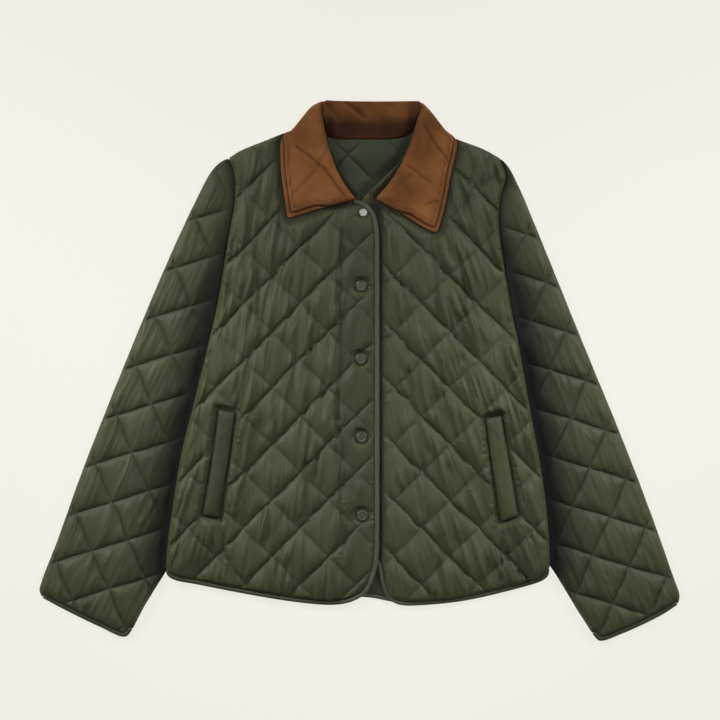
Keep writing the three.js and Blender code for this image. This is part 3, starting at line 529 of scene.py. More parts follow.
def strip(name, rings, material, looped=False):
    """Rings of points joined into a closed tube."""
    size = len(rings[0])
    faces = []
    for i in range(len(rings) if looped else len(rings) - 1):
        a, b = i * size, ((i + 1) % len(rings)) * size
        faces += [(a + k, a + (k + 1) % size, b + (k + 1) % size, b + k) for k in range(size)]
    if not looped:
        end = (len(rings) - 1) * size
        faces += [tuple(range(size))[::-1], tuple(end + k for k in range(size))]
    return mesh_object(name, np.vstack(rings), faces, material)


def smoothed(piece):
    """The piece with one level of smoothing made real."""
    piece.modifiers.new("Smooth", "SUBSURF").levels = 1
    shown = piece.evaluated_get(bpy.context.evaluated_depsgraph_get())
    mesh = bpy.data.meshes.new_from_object(shown)
    piece.modifiers.clear()
    piece.data = mesh
    return piece


def points_of(piece):
    """A piece's points in millimetres."""
    flat = np.zeros(len(piece.data.vertices) * 3, np.float32)
    piece.data.vertices.foreach_get("co", flat)
    points = flat.reshape(-1, 3).astype(float) / MM
    points[:, :2] -= PLACE
    return points


def set_points(piece, points):
    placed = np.array(points, float)
    placed[:, :2] += PLACE
    piece.data.vertices.foreach_set("co", (placed * MM).ravel().astype(np.float32))
    piece.data.update()


def mark(piece, name, values):
    """A value on each of a piece's first points, and 0 on the others."""
    full = np.zeros(len(piece.data.vertices), np.float32)
    full[:len(values)] = values
    piece.data.attributes.new(name, "FLOAT", "POINT").data.foreach_set("value", full)


def marked(piece, name):
    values = np.zeros(len(piece.data.vertices), np.float32)
    piece.data.attributes[name].data.foreach_get("value", values)
    return values


# %% [markdown]
# ## Materials as sums
#
# A material in Blender is a graph of nodes. Drawn by hand it is quick to see but slow to change, and in
# code each link takes a line. The small class below wraps a socket, so that ordinary sums such as
# weave * 0.1 + crinkle build the graph and read like the arithmetic that they are.

# %% Wires and shaders
class Wire:
    """A socket of a node tree, which can be added, multiplied and so on as a number can."""

    def __init__(self, shader, socket):
        self.shader, self.socket = shader, socket

    def sum(self, operation, *others):
        node = self.shader.tree.nodes.new("ShaderNodeMath")
        node.operation = operation
        for slot, value in zip(node.inputs, (self, *others)):
            self.shader.feed(slot, value)
        return Wire(self.shader, node.outputs[0])

    def __add__(self, other):
        return self.sum("ADD", other)

    def __sub__(self, other):
        return self.sum("SUBTRACT", other)

    def __mul__(self, other):
        return self.sum("MULTIPLY", other)

    def __truediv__(self, other):
        return self.sum("DIVIDE", other)

    def __pow__(self, other):
        return self.sum("POWER", other)

    __radd__, __rmul__ = __add__, __mul__

    def clipped(self):
        return self.sum("MAXIMUM", 0.0).sum("MINIMUM", 1.0)


class Shader:
    def __init__(self, name, **surface):
        self.material = bpy.data.materials.new(name)
        self.material.use_nodes = True
        self.tree = self.material.node_tree
        self.surface = self.tree.nodes["Principled BSDF"]
        for socket, value in surface.items():
            self.surface.inputs[socket.replace("_", " ")].default_value = value

    def feed(self, slot, value):
        if isinstance(value, Wire):
            self.tree.links.new(value.socket, slot)
        else:
            slot.default_value = value

    def node(self, kind, feeds=None, out=0, **settings):
        node = self.tree.nodes.new("ShaderNode" + kind)
        for name, value in settings.items():
            setattr(node, name, value)
        for socket, value in (feeds or {}).items():
            self.feed(node.inputs[socket], value)
        return Wire(self, node.outputs[out])

    def place(self, scale=(1, 1, 1), turn=0.0):
        """Position on the object, in metres, stretched by a scale."""
        where = self.node("TexCoord", out="Object")
        return self.node("Mapping", {"Vector": where, "Scale": scale, "Rotation": (0, 0, turn)})

    def noise(self, scale, detail=2.0, stretch=(1, 1, 1), turn=0.0):
        return self.node("TexNoise", {"Vector": self.place(stretch, turn), "Scale": scale, "Detail": detail}, "Fac")

    def drawn_lines(self, scale, lean, length):
        """Noise drawn out along lines that lean by a share of their height."""
        where = self.node("TexCoord", out="Object")
        along = self.node("Mapping", {"Vector": where, "Rotation": (0, 0, -math.atan(lean)), "Scale": (1, length, 1)},
                          vector_type="TEXTURE")
        return self.node("TexNoise", {"Vector": along, "Scale": scale, "Detail": 2.0}, "Fac")

    def threads(self, pitch, turn=0.0):
        """Rows of round threads with a pitch in millimetres, from 0 to 1."""
        return self.node("TexWave", {"Vector": self.place(turn=turn), "Scale": 2 * math.pi / (20 * pitch * MM) / 3.1416,
                                     "Distortion": 0.6, "Detail": 1.0}, "Fac", wave_type="BANDS")

    def mix_colour(self, share, low, high):
        node = self.tree.nodes.new("ShaderNodeMix")
        node.data_type = "RGBA"
        self.feed(node.inputs[0], share)
        self.feed(node.inputs[6], low)
        self.feed(node.inputs[7], high)
        return Wire(self, node.outputs[2])

    def finish(self, colour=None, roughness=None, height=None, distance=0.0002, strength=1.0):
        if colour is not None:
            self.feed(self.surface.inputs["Base Color"], colour)
        if roughness is not None:
            self.feed(self.surface.inputs["Roughness"], roughness)
        if height is not None:
            normal = self.node("Bump", {"Height": height, "Distance": distance, "Strength": strength})
            self.feed(self.surface.inputs["Normal"], normal)
        return self.material


def colour(red, green, blue):
    """A colour given as in a picture, from 0 to 255, as linear light."""
    linear = [((c / 255 + 0.055) / 1.055) ** 2.4 for c in (red, green, blue)]
    return (*linear, 1.0)


# %% [markdown]
# ## Shell cloth
#
# The outside is a thin closely woven cloth with a faint silky sheen. Photographs of cloth would carry
# their own light, so the weave is made from crossed waves. Small puckers too fine for the mesh are
# noise drawn out along the hang of the cloth, and they fade where the padding is sewn flat. The colour
# is darkened with painted shade in the sewn grooves and wherever a piece's shade attribute asks.

# %% Shell cloth: fine smooth weave, with painted shade in the sewn grooves
def shell_cloth(name, low, high, lean=0.0, drawn=2.0):
    cloth = Shader(name, Sheen_Weight=0.1, Sheen_Roughness=0.4, Sheen_Tint=colour(165, 172, 125),
                   Specular_IOR_Level=0.28)
    cloudy = cloth.noise(9.0, 3.0)
    # Painted shade: darker in the sewn grooves, and darker again where the shade attribute is high
    groove_shade = cloth.node("Attribute", out="Fac", attribute_name="groove_shade")
    tone = cloth.mix_colour(cloudy, low, high)
    tone = cloth.mix_colour((groove_shade * 0.6).clipped(), tone, colour(38, 40, 27))
    dim = cloth.node("Attribute", out="Fac", attribute_name="shade")
    tone = cloth.mix_colour(dim.clipped(), tone, colour(15, 16, 11))
    weave = cloth.threads(0.45) * cloth.threads(0.45, math.pi / 2)
    crinkle = cloth.noise(260.0, 3.0, (1, 0.35, 1))
    room = cloth.node("Attribute", out="Fac", attribute_name="room")
    small = cloth.drawn_lines(80.0, lean, 6.0)
    sharp = (cloth.drawn_lines(46.0, lean, 7.0) * 2.0 - 1.0).sum("ABSOLUTE") * -3.0 + 1.0
    pucker = (small * 2.6 + sharp.clipped() * 1.1) * room * drawn
    rough = cloth.noise(40.0) * 0.14 + 0.5
    return cloth.finish(tone, rough, weave * 0.1 + crinkle * 0.3 + pucker, 0.001, 0.8)


DEEP_GREEN, PALE_GREEN = colour(65, 68, 43), colour(75, 79, 50)
SHELL = shell_cloth("shell_cloth", DEEP_GREEN, PALE_GREEN)
PANEL_SHELL = {
    "front_cloth_right": shell_cloth("shell_cloth_front_right", DEEP_GREEN, PALE_GREEN, 0.08),
    "front_cloth_left": shell_cloth("shell_cloth_front_left", DEEP_GREEN, PALE_GREEN, -0.2),
    "sleeve_cloth_right": shell_cloth("shell_cloth_sleeve_right", DEEP_GREEN, PALE_GREEN, 0.42, 1.4),
    "sleeve_cloth_left": shell_cloth("shell_cloth_sleeve_left", DEEP_GREEN, PALE_GREEN, -0.4, 1.4),
}
LINING_SIDE = shell_cloth("shell_cloth_inside", colour(55, 61, 44), colour(66, 72, 53))


# %% [markdown]
# ## Collar cloth
#
# The collar is a warm brown cloth with a short brushed nap. Hair strands would be heavy and hardly
# seen at this distance. A rough surface with sheen and a fine uneven bump gives the same soft edge to
# the light, and a cloudy colour stands for nap that lies in different directions.

# %% Collar cloth: soft short nap
def collar_cloth():
    cloth = Shader("collar_cloth", Sheen_Weight=0.35, Sheen_Roughness=0.5, Sheen_Tint=colour(220, 160, 110),
                   Specular_IOR_Level=0.25)
    tone = cloth.mix_colour(cloth.noise(26.0, 3.0) * 2.2 + (-0.6), colour(98, 58, 27), colour(148, 95, 49))
    # Painted shade in the collar's sewn lines and folds, and darker again where the shade attribute is high
    groove_shade = cloth.node("Attribute", out="Fac", attribute_name="groove_shade")
    tone = cloth.mix_colour((groove_shade * 0.75).clipped(), tone, colour(78, 43, 21))
    dim = cloth.node("Attribute", out="Fac", attribute_name="shade")
    tone = cloth.mix_colour(dim.clipped(), tone, colour(40, 20, 12))
    nap = cloth.noise(900.0, 2.0)
    return cloth.finish(tone, cloth.noise(60.0) * 0.12 + 0.74, nap + cloth.noise(180.0, 2.0), 0.0003, 0.5)


COLLAR = collar_cloth()


# %% [markdown]
# ## Tape, thread and metal
#
# The tape that binds the edges is ribbed, the thread is a little shinier than the cloth, and the snaps
# are a pale metal one and four dark enamelled ones. Each is small in the picture, so each has only a
# colour, a roughness that varies and a fine bump.

# %% Binding tape, thread and snap metal
def binding_tape():
    tape = Shader("binding_tape", Sheen_Weight=0.2, Sheen_Roughness=0.4, Specular_IOR_Level=0.35)
    tone = tape.mix_colour(tape.noise(25.0, 3.0), colour(70, 71, 59), colour(84, 84, 72))
    dim = tape.node("Attribute", out="Fac", attribute_name="shade")
    tone = tape.mix_colour(dim.clipped(), tone, colour(60, 63, 45))
    ribs = tape.threads(0.9, math.pi / 4) + tape.noise(300.0)
    return tape.finish(tone, tape.noise(60.0) * 0.1 + 0.6, ribs, 0.0003, 0.6)


def thread(name, low, high):
    yarn = Shader(name, Sheen_Weight=0.3, Specular_IOR_Level=0.4)
    return yarn.finish(yarn.mix_colour(yarn.noise(500.0), low, high), yarn.noise(300.0) * 0.2 + 0.5,
                       yarn.noise(2500.0), 0.0001, 0.5)


def snap_metal(name, low, high, metallic):
    metal = Shader(name, Metallic=metallic, Specular_IOR_Level=0.5, Coat_Weight=0.25)
    tone = metal.mix_colour(metal.noise(220.0, 4.0), low, high)
    return metal.finish(tone, metal.noise(350.0, 3.0) * 0.25 + 0.28, metal.noise(900.0, 2.0), 0.00005, 0.4)


BINDING = binding_tape()
SHELL_THREAD = thread("shell_thread", colour(60, 63, 44), colour(84, 87, 64))
COLLAR_THREAD = thread("collar_thread", colour(120, 72, 38), colour(150, 96, 54))
PALE_SNAP = snap_metal("snap_pale_metal", colour(188, 186, 176), colour(214, 212, 204), 0.85)
DARK_SNAP = snap_metal("snap_dark_enamel", colour(62, 66, 50), colour(82, 86, 68), 0.3)
print("materials:", len(bpy.data.materials))

# %% [markdown]
# ## The padded panels
#
# Each front and each sleeve is face cloth over wadding. A plain inflated mesh would swell into one
# balloon. So the padding starts as small pillows between the sewn lines, lower by the edges, the
# pockets, the collar and the snaps, where something holds it down, and with the main folds pressed in.

# %% Outer faces before settling
class Panel:
    """A padded panel: its outline, its outer face and the heights of what it lies on."""

    def __init__(self, name, outline, quilt, base, free, shade, fullness, edges, trims=()):
        self.name, self.outline, self.quilt, self.base = name, outline, quilt, base
        self.fullness = fullness
        edges = apart(scatter(outline, np.vstack(edges), 2.6), 2.0)
        lattice = scatter(outline, quilt.points(outline), 2.6)
        clear = np.ones(len(lattice), bool)
        for point in edges:
            clear &= np.hypot(*(lattice - point).T) > 2.1
        inner = np.vstack([edges, lattice[clear]])
        self.points, self.faces = fill(outline, inner)
        p = self.points
        self.edge = distance(p, outline)
        self.free = free(p)
        self.shade = np.maximum(shade(p), np.clip(0.15 * crease_depth(p, share=0.45), 0, 0.4) * self.free)
        self.near_trim = np.ones(len(p))
        for trim in trims:
            self.near_trim = np.minimum(self.near_trim, smooth(away_from(p, trim) / 3.5))
        # How much painted shade each point gets from the sewn lines
        self.seam, self.groove_shade = quilt.seam_distance(p), quilt.groove_shade(p)
        pad = VALLEY_WALL + (CREST_WALL - VALLEY_WALL) * pillow(quilt, p)
        pad = PLAIN_WALL + (pad - PLAIN_WALL) * edge_rise(self.edge) * self.free
        pad -= crease_depth(p) * edge_rise(self.edge) * self.free
        pad += 0.8 * ripple(p, 45, len(name)) * self.free * edge_rise(self.edge, 25)
        self.floor = base(p)
        self.z = self.floor + np.maximum(SEAM_WALL, pad)
        self.held = (self.seam < 0.8) | (self.edge < 0.5) | (self.free < 0.12)


def sleeve_rim(s):
    turn = 1 if s == "R" else -1
    cuff = curve(CUFF[s], 3)
    return joined(curve(SLEEVE_OUT[s]), offset(cuff, turn * CUFF_BINDING), sleeve_in[s], armhole[s][::-1])


def front_rim(s):
    inner = bound_inner(bound[s], 1 if s == "R" else -1)
    outline = joined(side[s], inner, neck[s][::-1], shoulder["R"][::-1] if s == "R" else shoulder["L"],
                     armhole[s])
    return outline


PLACKET_X = -27


def placket_line(y):
    """Where the inner edge of the turned-in lap presses through, a little wavering."""
    return PLACKET_X + 1 + 2.2 * np.sin(y / 21) + 1.5 * np.sin(y / 9)


def front_panel(s):
    outline = front_rim(s)
    snaps = np.array([(x, y) for x, y, _, _ in SNAPS], float)
    radii = np.array([r for _, _, r, _ in SNAPS])

    def base(p):
        arch = ARCH * smooth(distance(p, outline) / ARCH_REACH)
        if s == "R":
            return front_base(p) + np.maximum(lap_lift(p), arch)
        return front_base(p) + arch * smooth((p[:, 0] - LAP_EDGE_X) / 30)

    def free(p):
        welt = smooth((away_from(p, welt_shape[s]) - 1.5) / 7)
        leaf = smooth((away_from(p, leaf_shape[s]) - 1) / 12)
        result = np.minimum(welt, leaf)
        if s == "R":
            result = result * (1 - 0.4 * smooth((p[:, 0] - PLACKET_X) / 6))
            near = np.min(np.hypot(p[:, None, 0] - snaps[:, 0], p[:, None, 1] - snaps[:, 1]) - radii, axis=1)
            return np.minimum(result, smooth((near - 0.5) / 9))
        lap = np.where(p[:, 1] < 219, smooth((p[:, 0] - LAP_EDGE_X - 1.5) / 8), 1)
        return np.minimum(result, lap)

    def shade(p):
        dim = 0.78 * np.exp(-((away_from(p, leaf_shape[s]) / (8 if s == "R" else 5)) ** 2))
        dim = np.maximum(dim, 0.68 * np.exp(-((away_from(p, welt_shape[s]) / 2.6) ** 2)))
        if s == "L":
            by_lap = np.exp(-((np.maximum(0, p[:, 0] - LAP_EDGE_X) / 5) ** 2))
            return np.maximum(dim, 0.93 * by_lap * smooth((222 - p[:, 1]) / 12))
        placket = 0.21 * smooth((p[:, 0] - PLACKET_X) / 8)
        turned_in = 0.5 * np.exp(-(((p[:, 0] - placket_line(p[:, 1])) / 2.2) ** 2)) * smooth((p[:, 1] + 195) / 40)
        return np.maximum(dim, (placket + turned_in) * smooth((205 - p[:, 1]) / 30))

    rings = [offset(shape, -reach, closed=True)[::1 if reach < 4 else 2]
             for shape in (welt_shape[s], leaf_shape[s]) for reach in (0.6, 3.4, 7)]
    if s == "R":
        turns = np.linspace(0, 2 * np.pi, 15)[:-1, None]
        rings += [centre + (r + 1.5) * np.hstack([np.cos(turns), np.sin(turns)]) for centre, r in zip(snaps, radii)]
        ys = np.arange(-200, 204, 4.2)
        rings += [np.column_stack([placket_line(ys) + aside, ys]) for aside in (0, -3, 3)]
    else:
        ys = np.arange(-290, 200, 4.2)
        rings += [np.column_stack([np.full(len(ys), x), ys]) for x in (24.5, 27.5, 31.0, 35.5)]
    return Panel("front_cloth_right" if s == "R" else "front_cloth_left", outline, QUILTS[f"front_{s}"],
                 base, free, shade, 1.0, rings + [crease_points()], (welt_shape[s], leaf_shape[s]))


def sleeve_panel(s):
    outline = sleeve_rim(s)

    def base(p):
        arch = ARCH * smooth(distance(p, outline) / ARCH_REACH)
        return SLEEVE_BASE + arch * smooth((away_from(p, tuck[s]) - 2) / 40)

    def free(p):
        by_arm = smooth((distance(p, armhole[s], closed=False) - 1) / 30)
        return np.minimum(by_arm, smooth((away_from(p, tuck[s]) - 2) / 30))

    def shade(p):
        away = away_from(p, body)
        low = smooth((210 - p[:, 1]) / 130)
        wide = 0.1 if s == "R" else 0.22
        return 0.94 * np.exp(-((away / (8 + 23 * low)) ** 1.8)) + wide * low * np.exp(-((away / 70) ** 2))

    return Panel("sleeve_cloth_right" if s == "R" else "sleeve_cloth_left", outline, QUILTS[f"sleeve_{s}"],
                 base, free, shade, 0.55, [inset(outline, 4)])


panels = [front_panel("R"), front_panel("L"), sleeve_panel("R"), sleeve_panel("L")]
print("outer faces:", {panel.name: len(panel.faces) for panel in panels})

# %% [markdown]
# ## Letting the cloth settle
#
# Real face cloth is cut a little larger than the quilted piece, so it buckles between its seams. That
# is hard to draw and easy to simulate: the points on the seams are pinned, the cloth is cut wider than
# it shows, and pressure stands for the wadding. It is run at ten times the size, where the solver is
# steadier, and no point may move far, so that it gives the same result each time.

# %% Settle the outer faces together
FRAMES = 24
SWELL = 4.0
MOST_MOVE = 4.5
GIANT = 10.0      # the simulation is run at ten times the real size, where it is steadier
EXTRA_WIDTH, EXTRA_LENGTH = 0.13, 0.02


def settle(panels):
    """Swell every panel against its stitching, and set the panel's points to the result."""
    points = np.vstack([np.column_stack([panel.points, panel.z]) for panel in panels])
    starts = np.cumsum([0] + [len(panel.points) for panel in panels])
    faces = np.vstack([panel.faces + start for panel, start in zip(panels, starts)])
    full = np.concatenate([np.full(len(panel.points), panel.fullness) for panel in panels])
    held = np.concatenate([panel.held for panel in panels])
    mesh = bpy.data.meshes.new("settling")
    real = points * MM * GIANT
    mesh.from_pydata(real.tolist(), [], faces.tolist())
    cloth = bpy.data.objects.new("settling", mesh)
    bpy.context.scene.collection.objects.link(cloth)
    cloth.shape_key_add(name="Basis")
    wide = cloth.shape_key_add(name="Cut")
    cut = real.copy()
    cut[:, 0] *= 1 + EXTRA_WIDTH * full
    cut[:, 1] *= 1 + EXTRA_LENGTH * full
    wide.data.foreach_set("co", cut.ravel())
    pins = cloth.vertex_groups.new(name="sewn")
    pins.add(np.flatnonzero(held).tolist(), 1.0, "REPLACE")
    modifier = cloth.modifiers.new("Cloth", "CLOTH")
    settings = modifier.settings
    settings.quality = 6
    settings.mass = 0.15
    settings.air_damping = 1.5
    settings.tension_stiffness = settings.compression_stiffness = 30
    settings.shear_stiffness = 6
    settings.bending_stiffness = 0.08
    settings.tension_damping = settings.compression_damping = 4
    settings.use_pressure = True
    settings.uniform_pressure_force = SWELL
    settings.vertex_group_mass = "sewn"
    settings.rest_shape_key = wide
    settings.effector_weights.gravity = 0
    modifier.collision_settings.use_collision = False
    modifier.point_cache.frame_start, modifier.point_cache.frame_end = 1, FRAMES
    for step in range(1, FRAMES + 1):
        bpy.context.scene.frame_set(step)
    shown = cloth.evaluated_get(bpy.context.evaluated_depsgraph_get()).to_mesh()
    moved = np.zeros(len(points) * 3, np.float32)
    shown.vertices.foreach_get("co", moved)
    moved = moved.reshape(-1, 3) / (MM * GIANT) - points
    bpy.data.objects.remove(cloth)
    bpy.context.scene.frame_set(1)
    far = np.linalg.norm(moved, axis=1)
    print("settled: mean move", round(float(far.mean()), 2), "most", round(float(far.max()), 2))
    moved *= np.minimum(1, MOST_MOVE / np.maximum(far, 1e-6))[:, None]
    for panel, start, end in zip(panels, starts, starts[1:]):
        panel.points = panel.points + moved[start:end, :2]
        panel.z = np.maximum(panel.z + moved[start:end, 2], panel.floor + 1.3)


settle(panels)

# %% [markdown]
# ## Puckers
#
# Between the sewn lines the cloth stands in many short upright ridges. The simulation's mesh is too
# coarse for them, and a fractal noise looks like stone. Each ridge is therefore its own small form,
# gentle on one side and steep on the other, leaning as the cloth hangs. Most are strewn by a seeded
# random generator, and the strongest are listed one by one.

# %% Puckers
# Each pucker is a short ridge, gentle on one side and steep on the other. It leans as the cloth hangs.
PUCKER_GENTLE, PUCKER_STEEP = 4.2, 1.8


def ridge(x1, y1, x2, y2, tall, wide=1.0):
    """One pucker from end to end."""
    return ((x1 + x2) / 2, (y1 + y2) / 2, abs(y1 - y2) / 2 + 4, wide, tall, (x2 - x1) / (y2 - y1))


def fan(starts, ends, tall, wide):
    return [ridge(*start, *end, tall * (0.8 + 0.4 * (k % 2)), wide) for k, (start, end) in enumerate(zip(starts, ends))]


def puckers(outline, count, seed, lean, tall=(1.7, 4.0), long=(18, 55)):
    rng = np.random.default_rng(seed)
    low, high = outline.min(axis=0), outline.max(axis=0)
    places = rng.uniform(low, high, (count * 4, 2))
    places = places[inside(places, outline)][:count]
    made = len(places)
    return np.column_stack([places, rng.uniform(*long, made), rng.uniform(0.7, 1.3, made),
                            rng.uniform(*tall, made), lean(places) + rng.normal(0, 0.04, made)])


def pucker_height(p, rows):
    height = np.zeros(len(p))
    for x, y, long, wide, tall, lean in rows:
        v = (p[:, 1] - y) / long
        near = np.flatnonzero(np.abs(v) < 1)
        u = (p[near, 0] - x - lean * (p[near, 1] - y)) / wide
        outward = np.where(p[near, 0] < 0, u, -u)
        u = np.where(outward < 0, u / PUCKER_GENTLE, u / PUCKER_STEEP)
        height[near] += tall * np.exp(-u * u) * np.cos(v[near] * math.pi / 2) ** 2
    return height


# The lap's turned-in edge, the drag above and below each welt, and small gathers along the hem
HAND_RIDGES = {
    "front_cloth_right": [
        ridge(-31, 165, -33, 40, 4.0), ridge(-33, 60, -36, -70, 3.8), ridge(-35, -60, -34, -150, 2.6),
        ridge(-45, 120, -48, 50, 1.8), ridge(-60, 100, -64, 20, 2.0), ridge(-74, -5, -74, -75, 2.4),
        ridge(-52, -20, -54, -75, 2.2), ridge(-40, -60, -42, -100, 2.2), ridge(-60, -140, -62, -190, 2.2),
        ridge(-92, -190, -93, -222, 2.0), ridge(-36, -185, -38, -225, 2.0), ridge(-63, -212, -64, -266, 2.2),
        ridge(-152, -55, -134, 50, 2.4), ridge(-134, 50, -130, 130, 2.4), ridge(-178, -245, -186, -196, 2.6),
        ridge(-148, -278, -176, -240, 2.4),
    ],
    "front_cloth_left": [
        *fan([(166 + 7 * k, -199) for k in range(5)], [(146 + 19 * k, -266 + 3 * k) for k in range(5)], 2.2, 1.1),
        *fan([(104 + 17 * k, -246) for k in range(4)], [(109 + 18 * k, -282 + k) for k in range(4)], 2.8, 1.0),
        ridge(90, 174, 106, 78, 2.6, 1.2), ridge(111, 91, 131, 14, 3.0, 1.2), ridge(131, 14, 146, -34, 2.4, 1.2),
        ridge(122, 167, 141, 103, 2.4), ridge(79, 52, 87, 29, 2.4), ridge(148, 270, 132, 199, 2.6),
        ridge(166, 276, 154, 238, 2.2), ridge(100, 60, 116, -10, 2.4), ridge(118, 20, 140, -50, 2.6),
        ridge(150, 80, 166, 10, 2.0), ridge(130, -70, 148, -150, 2.4), ridge(108, -60, 128, -140, 2.2),
    ],
    "sleeve_cloth_right": [
        *fan([(-396 + 16 * k, -262 - 7 * k) for k in range(4)], [(-401 + 17 * k, -285 - 8 * k) for k in range(4)],
             1.8, 1.0),
    ],
    "sleeve_cloth_left": [
        *fan([(330 + 18 * k, -300 + 9 * k) for k in range(4)], [(336 + 18 * k, -326 + 10 * k) for k in range(4)],
             1.8, 1.0),
    ],
}
PUCKERS = {
    "front_cloth_right": puckers(panels[0].outline, 250, 3, lambda p: 0.02 + 0.0011 * np.maximum(0, -p[:, 0])),
    "front_cloth_left": puckers(panels[1].outline, 230, 8, lambda p: -0.0026 * np.clip(p[:, 0], 0, 125)),
    "sleeve_cloth_right": puckers(panels[2].outline, 90, 5, lambda p: np.full(len(p), 0.42), (0.5, 1.3), (8, 30)),
    "sleeve_cloth_left": puckers(panels[3].outline, 90, 6, lambda p: np.full(len(p), -0.4), (0.5, 1.3), (8, 30)),
}


# %% [markdown]
# ## Closing the panels
#
# The settled face gets its plain underside and the wall round its edge. Masks such as how free the
# cloth is are stored on the coarse mesh, and subdivision carries them to the fine one. Measuring them
# again on every fine point would give the same but take far longer.

# %% Close the padded panels
def panel_piece(panel):
    count = len(panel.outline)
    piece = close_sheet(panel.name, panel.points[:count], panel.points, panel.faces, panel.z, panel.base,
                        PANEL_SHELL[panel.name])
    # Painted shade along the sewn lines, weaker where the padding is held flat
    mark(piece, "groove_shade", panel.groove_shade * np.where(panel.free > 0.3, 1, 0.4))
    mark(piece, "shade", panel.shade)
    mark(piece, "floor", panel.floor)
    amid = np.r_[np.zeros(count), np.ones(len(panel.points) - count)]
    plump = 0.45 + 0.55 * pillow(panel.quilt, panel.points)
    mark(piece, "room", panel.free * edge_rise(panel.edge, 6) * amid * plump)
    mark(piece, "reach", panel.near_trim * edge_rise(panel.edge, 3) * amid)
    smoothed(piece)
    points = points_of(piece)
    room, reach = marked(piece, "room"), marked(piece, "reach")
    top = np.flatnonzero(reach > 0)
    p = points[top, :2]
    crinkled = (points[top, 2] + pucker_height(p, PUCKERS[panel.name]) * room[top]
                + pucker_height(p, HAND_RIDGES[panel.name]) * reach[top])
    points[top, 2] = np.maximum(crinkled, marked(piece, "floor")[top] + 1.2)
    set_points(piece, points)
    return piece


padded_pieces = {panel.name: panel_piece(panel) for panel in panels}
print("padded panels:", list(padded_pieces))

# %% [markdown]
# ## Back and under sleeves
#
# What lies beneath is plain where it is hidden, and a mesh as fine as the fronts' would be wasted. The
# back's quilting is modelled only inside the neck, where it shows. The under sleeves run a little way
# under the body, as a seam allowance does, so that no light comes through the armhole.

# %% Plain layers
def grid_points(step):
    grid = np.stack(np.meshgrid(np.arange(-420, 421, step), np.arange(-350, 351, step)), -1).reshape(-1, 2)
    return grid + 0.013


def plain_sheet(name, outline, inner, top_at, under_at, material, under_step=16, quilt=None, shade=None):
    points, faces = fill(outline, inner)
    piece = close_sheet(name, outline, points, faces, top_at(points), under_at, material, under_step)
    if quilt is not None:
        # Painted shade along the back's sewn lines
        mark(piece, "groove_shade", np.exp(-((quilt.seam_distance(points) / 1.1) ** 2)))
    if shade is not None:
        mark(piece, "shade", shade(points))
    return smoothed(piece)


def neck_shade(p):
    from_edges = np.minimum(distance(p, neck["R"], closed=False), distance(p, neck["L"], closed=False))
    return 0.08 + 0.5 * np.exp(-((from_edges / 7) ** 2))


back_rim = joined(side["R"], bound_inner(hem["back"], 1), side["L"][::-1], armhole["L"][::-1],
                  shoulder["L"][::-1], neck_back[::-1], shoulder["R"][::-1], armhole["R"])
neck_grid = QUILTS["back"].points(neck_opening)
neck_grid = neck_grid[inside(neck_grid, neck_opening)]
coarse = grid_points(12)
coarse = coarse[away_from(coarse, neck_opening) > 6]
back_piece = plain_sheet("back_cloth", back_rim, scatter(back_rim, np.vstack([neck_grid, coarse]), 2.6),
                         back_height, body_lift, LINING_SIDE, 12, QUILTS["back"], neck_shade)


def under_sleeve_rim(s):
    """The sleeve's outline, with its seam allowance under the body along the armhole."""
    turn = 1 if s == "R" else -1
    cuff = curve(CUFF[s], 3)
    taper = np.minimum(1, 4 * np.sin(np.linspace(0, np.pi, len(armhole[s]))))
    inner_arm = offset(armhole[s], 2.5 * turn * taper)
    return joined(curve(SLEEVE_OUT[s]), offset(cuff, turn * (CUFF_BINDING - 1)), sleeve_in[s], inner_arm[::-1])


under_pieces = {}
for s, word in (("R", "right"), ("L", "left")):
    rim = under_sleeve_rim(s)
    under_pieces[s] = plain_sheet(f"sleeve_under_cloth_{word}", rim, scatter(rim, grid_points(16), 6),
                                  lambda p: np.full(len(p), UNDER_WALL), lambda p: np.zeros(len(p)), SHELL)

# %% [markdown]
# ## Underarm folds
#
# Where the body lifts to lie on a sleeve, the sleeve's cloth gathers into a thin fold under it. It could
# be left out, since it is hidden from above, but from low at the side the bright ground would show
# through the slit. A thin sheet along the sleeve's inner edge is enough, kept under the back's cloth.

# %% Underarm folds
FOLD_POINTS, FOLD_WIDTH = 26, 32


def underarm_fold(s, word):
    turn = 1 if s == "R" else -1
    seam = sleeve_in[s][-FOLD_POINTS:]
    wide = FOLD_WIDTH * np.sin(np.linspace(0.02, np.pi - 0.7, len(seam))) ** 0.4
    outline = joined(offset(seam, -0.4 * turn), offset(seam, -turn * (0.4 + wide))[::-1])
    if area_of(outline) < 0:
        outline = outline[::-1]
    piece = plain_sheet(f"underarm_fold_{word}", outline, scatter(outline, grid_points(6), 2),
                        lambda p: np.clip(body_lift(p) - 0.4, 0.4, 1.6), lambda p: np.full(len(p), 0.15), SHELL, 12,
                        shade=lambda p: np.full(len(p), 0.6))
    print("underarm fold:", word, np.round(np.ptp(outline, axis=0)), "mm, area", round(area_of(outline)), "mm2")
    return piece, outline


fold_pieces = {"R": underarm_fold("R", "right"), "L": underarm_fold("L", "left")}

# %% [markdown]
# ## Bindings
#
# A narrow tape is folded over each cut edge. A curve with a bevel would make an even wire, but tape
# lies flat against the cloth and is rounded only outside. So a small section is swept along the edge
# and swells a little between stitches. It is pale down the opening and green along the hems.

# %% Bindings
BEAD = [(0.0, 0.5), (0.06, 0.2), (0.2, 0.02), (0.6, 0.0), (1.0, 0.02), (1.0, 0.8), (0.86, 0.95), (0.6, 1.02),
        (0.32, 0.98), (0.12, 0.84)]


def short_of_ends(path, gap=0.5):
    path = path.copy()
    for end, nxt in ((0, 1), (-1, -2)):
        step = path[nxt] - path[end]
        path[end] += step * gap / np.linalg.norm(step)
    return path


def tape_shade(p):
    """The tape is pale down the opening and green along the hems and sleeve ends."""
    from_opening = smooth((np.abs(p[:, 0] - 20) - 26) / 30)
    return from_opening * smooth((-195 - p[:, 1]) / 20)


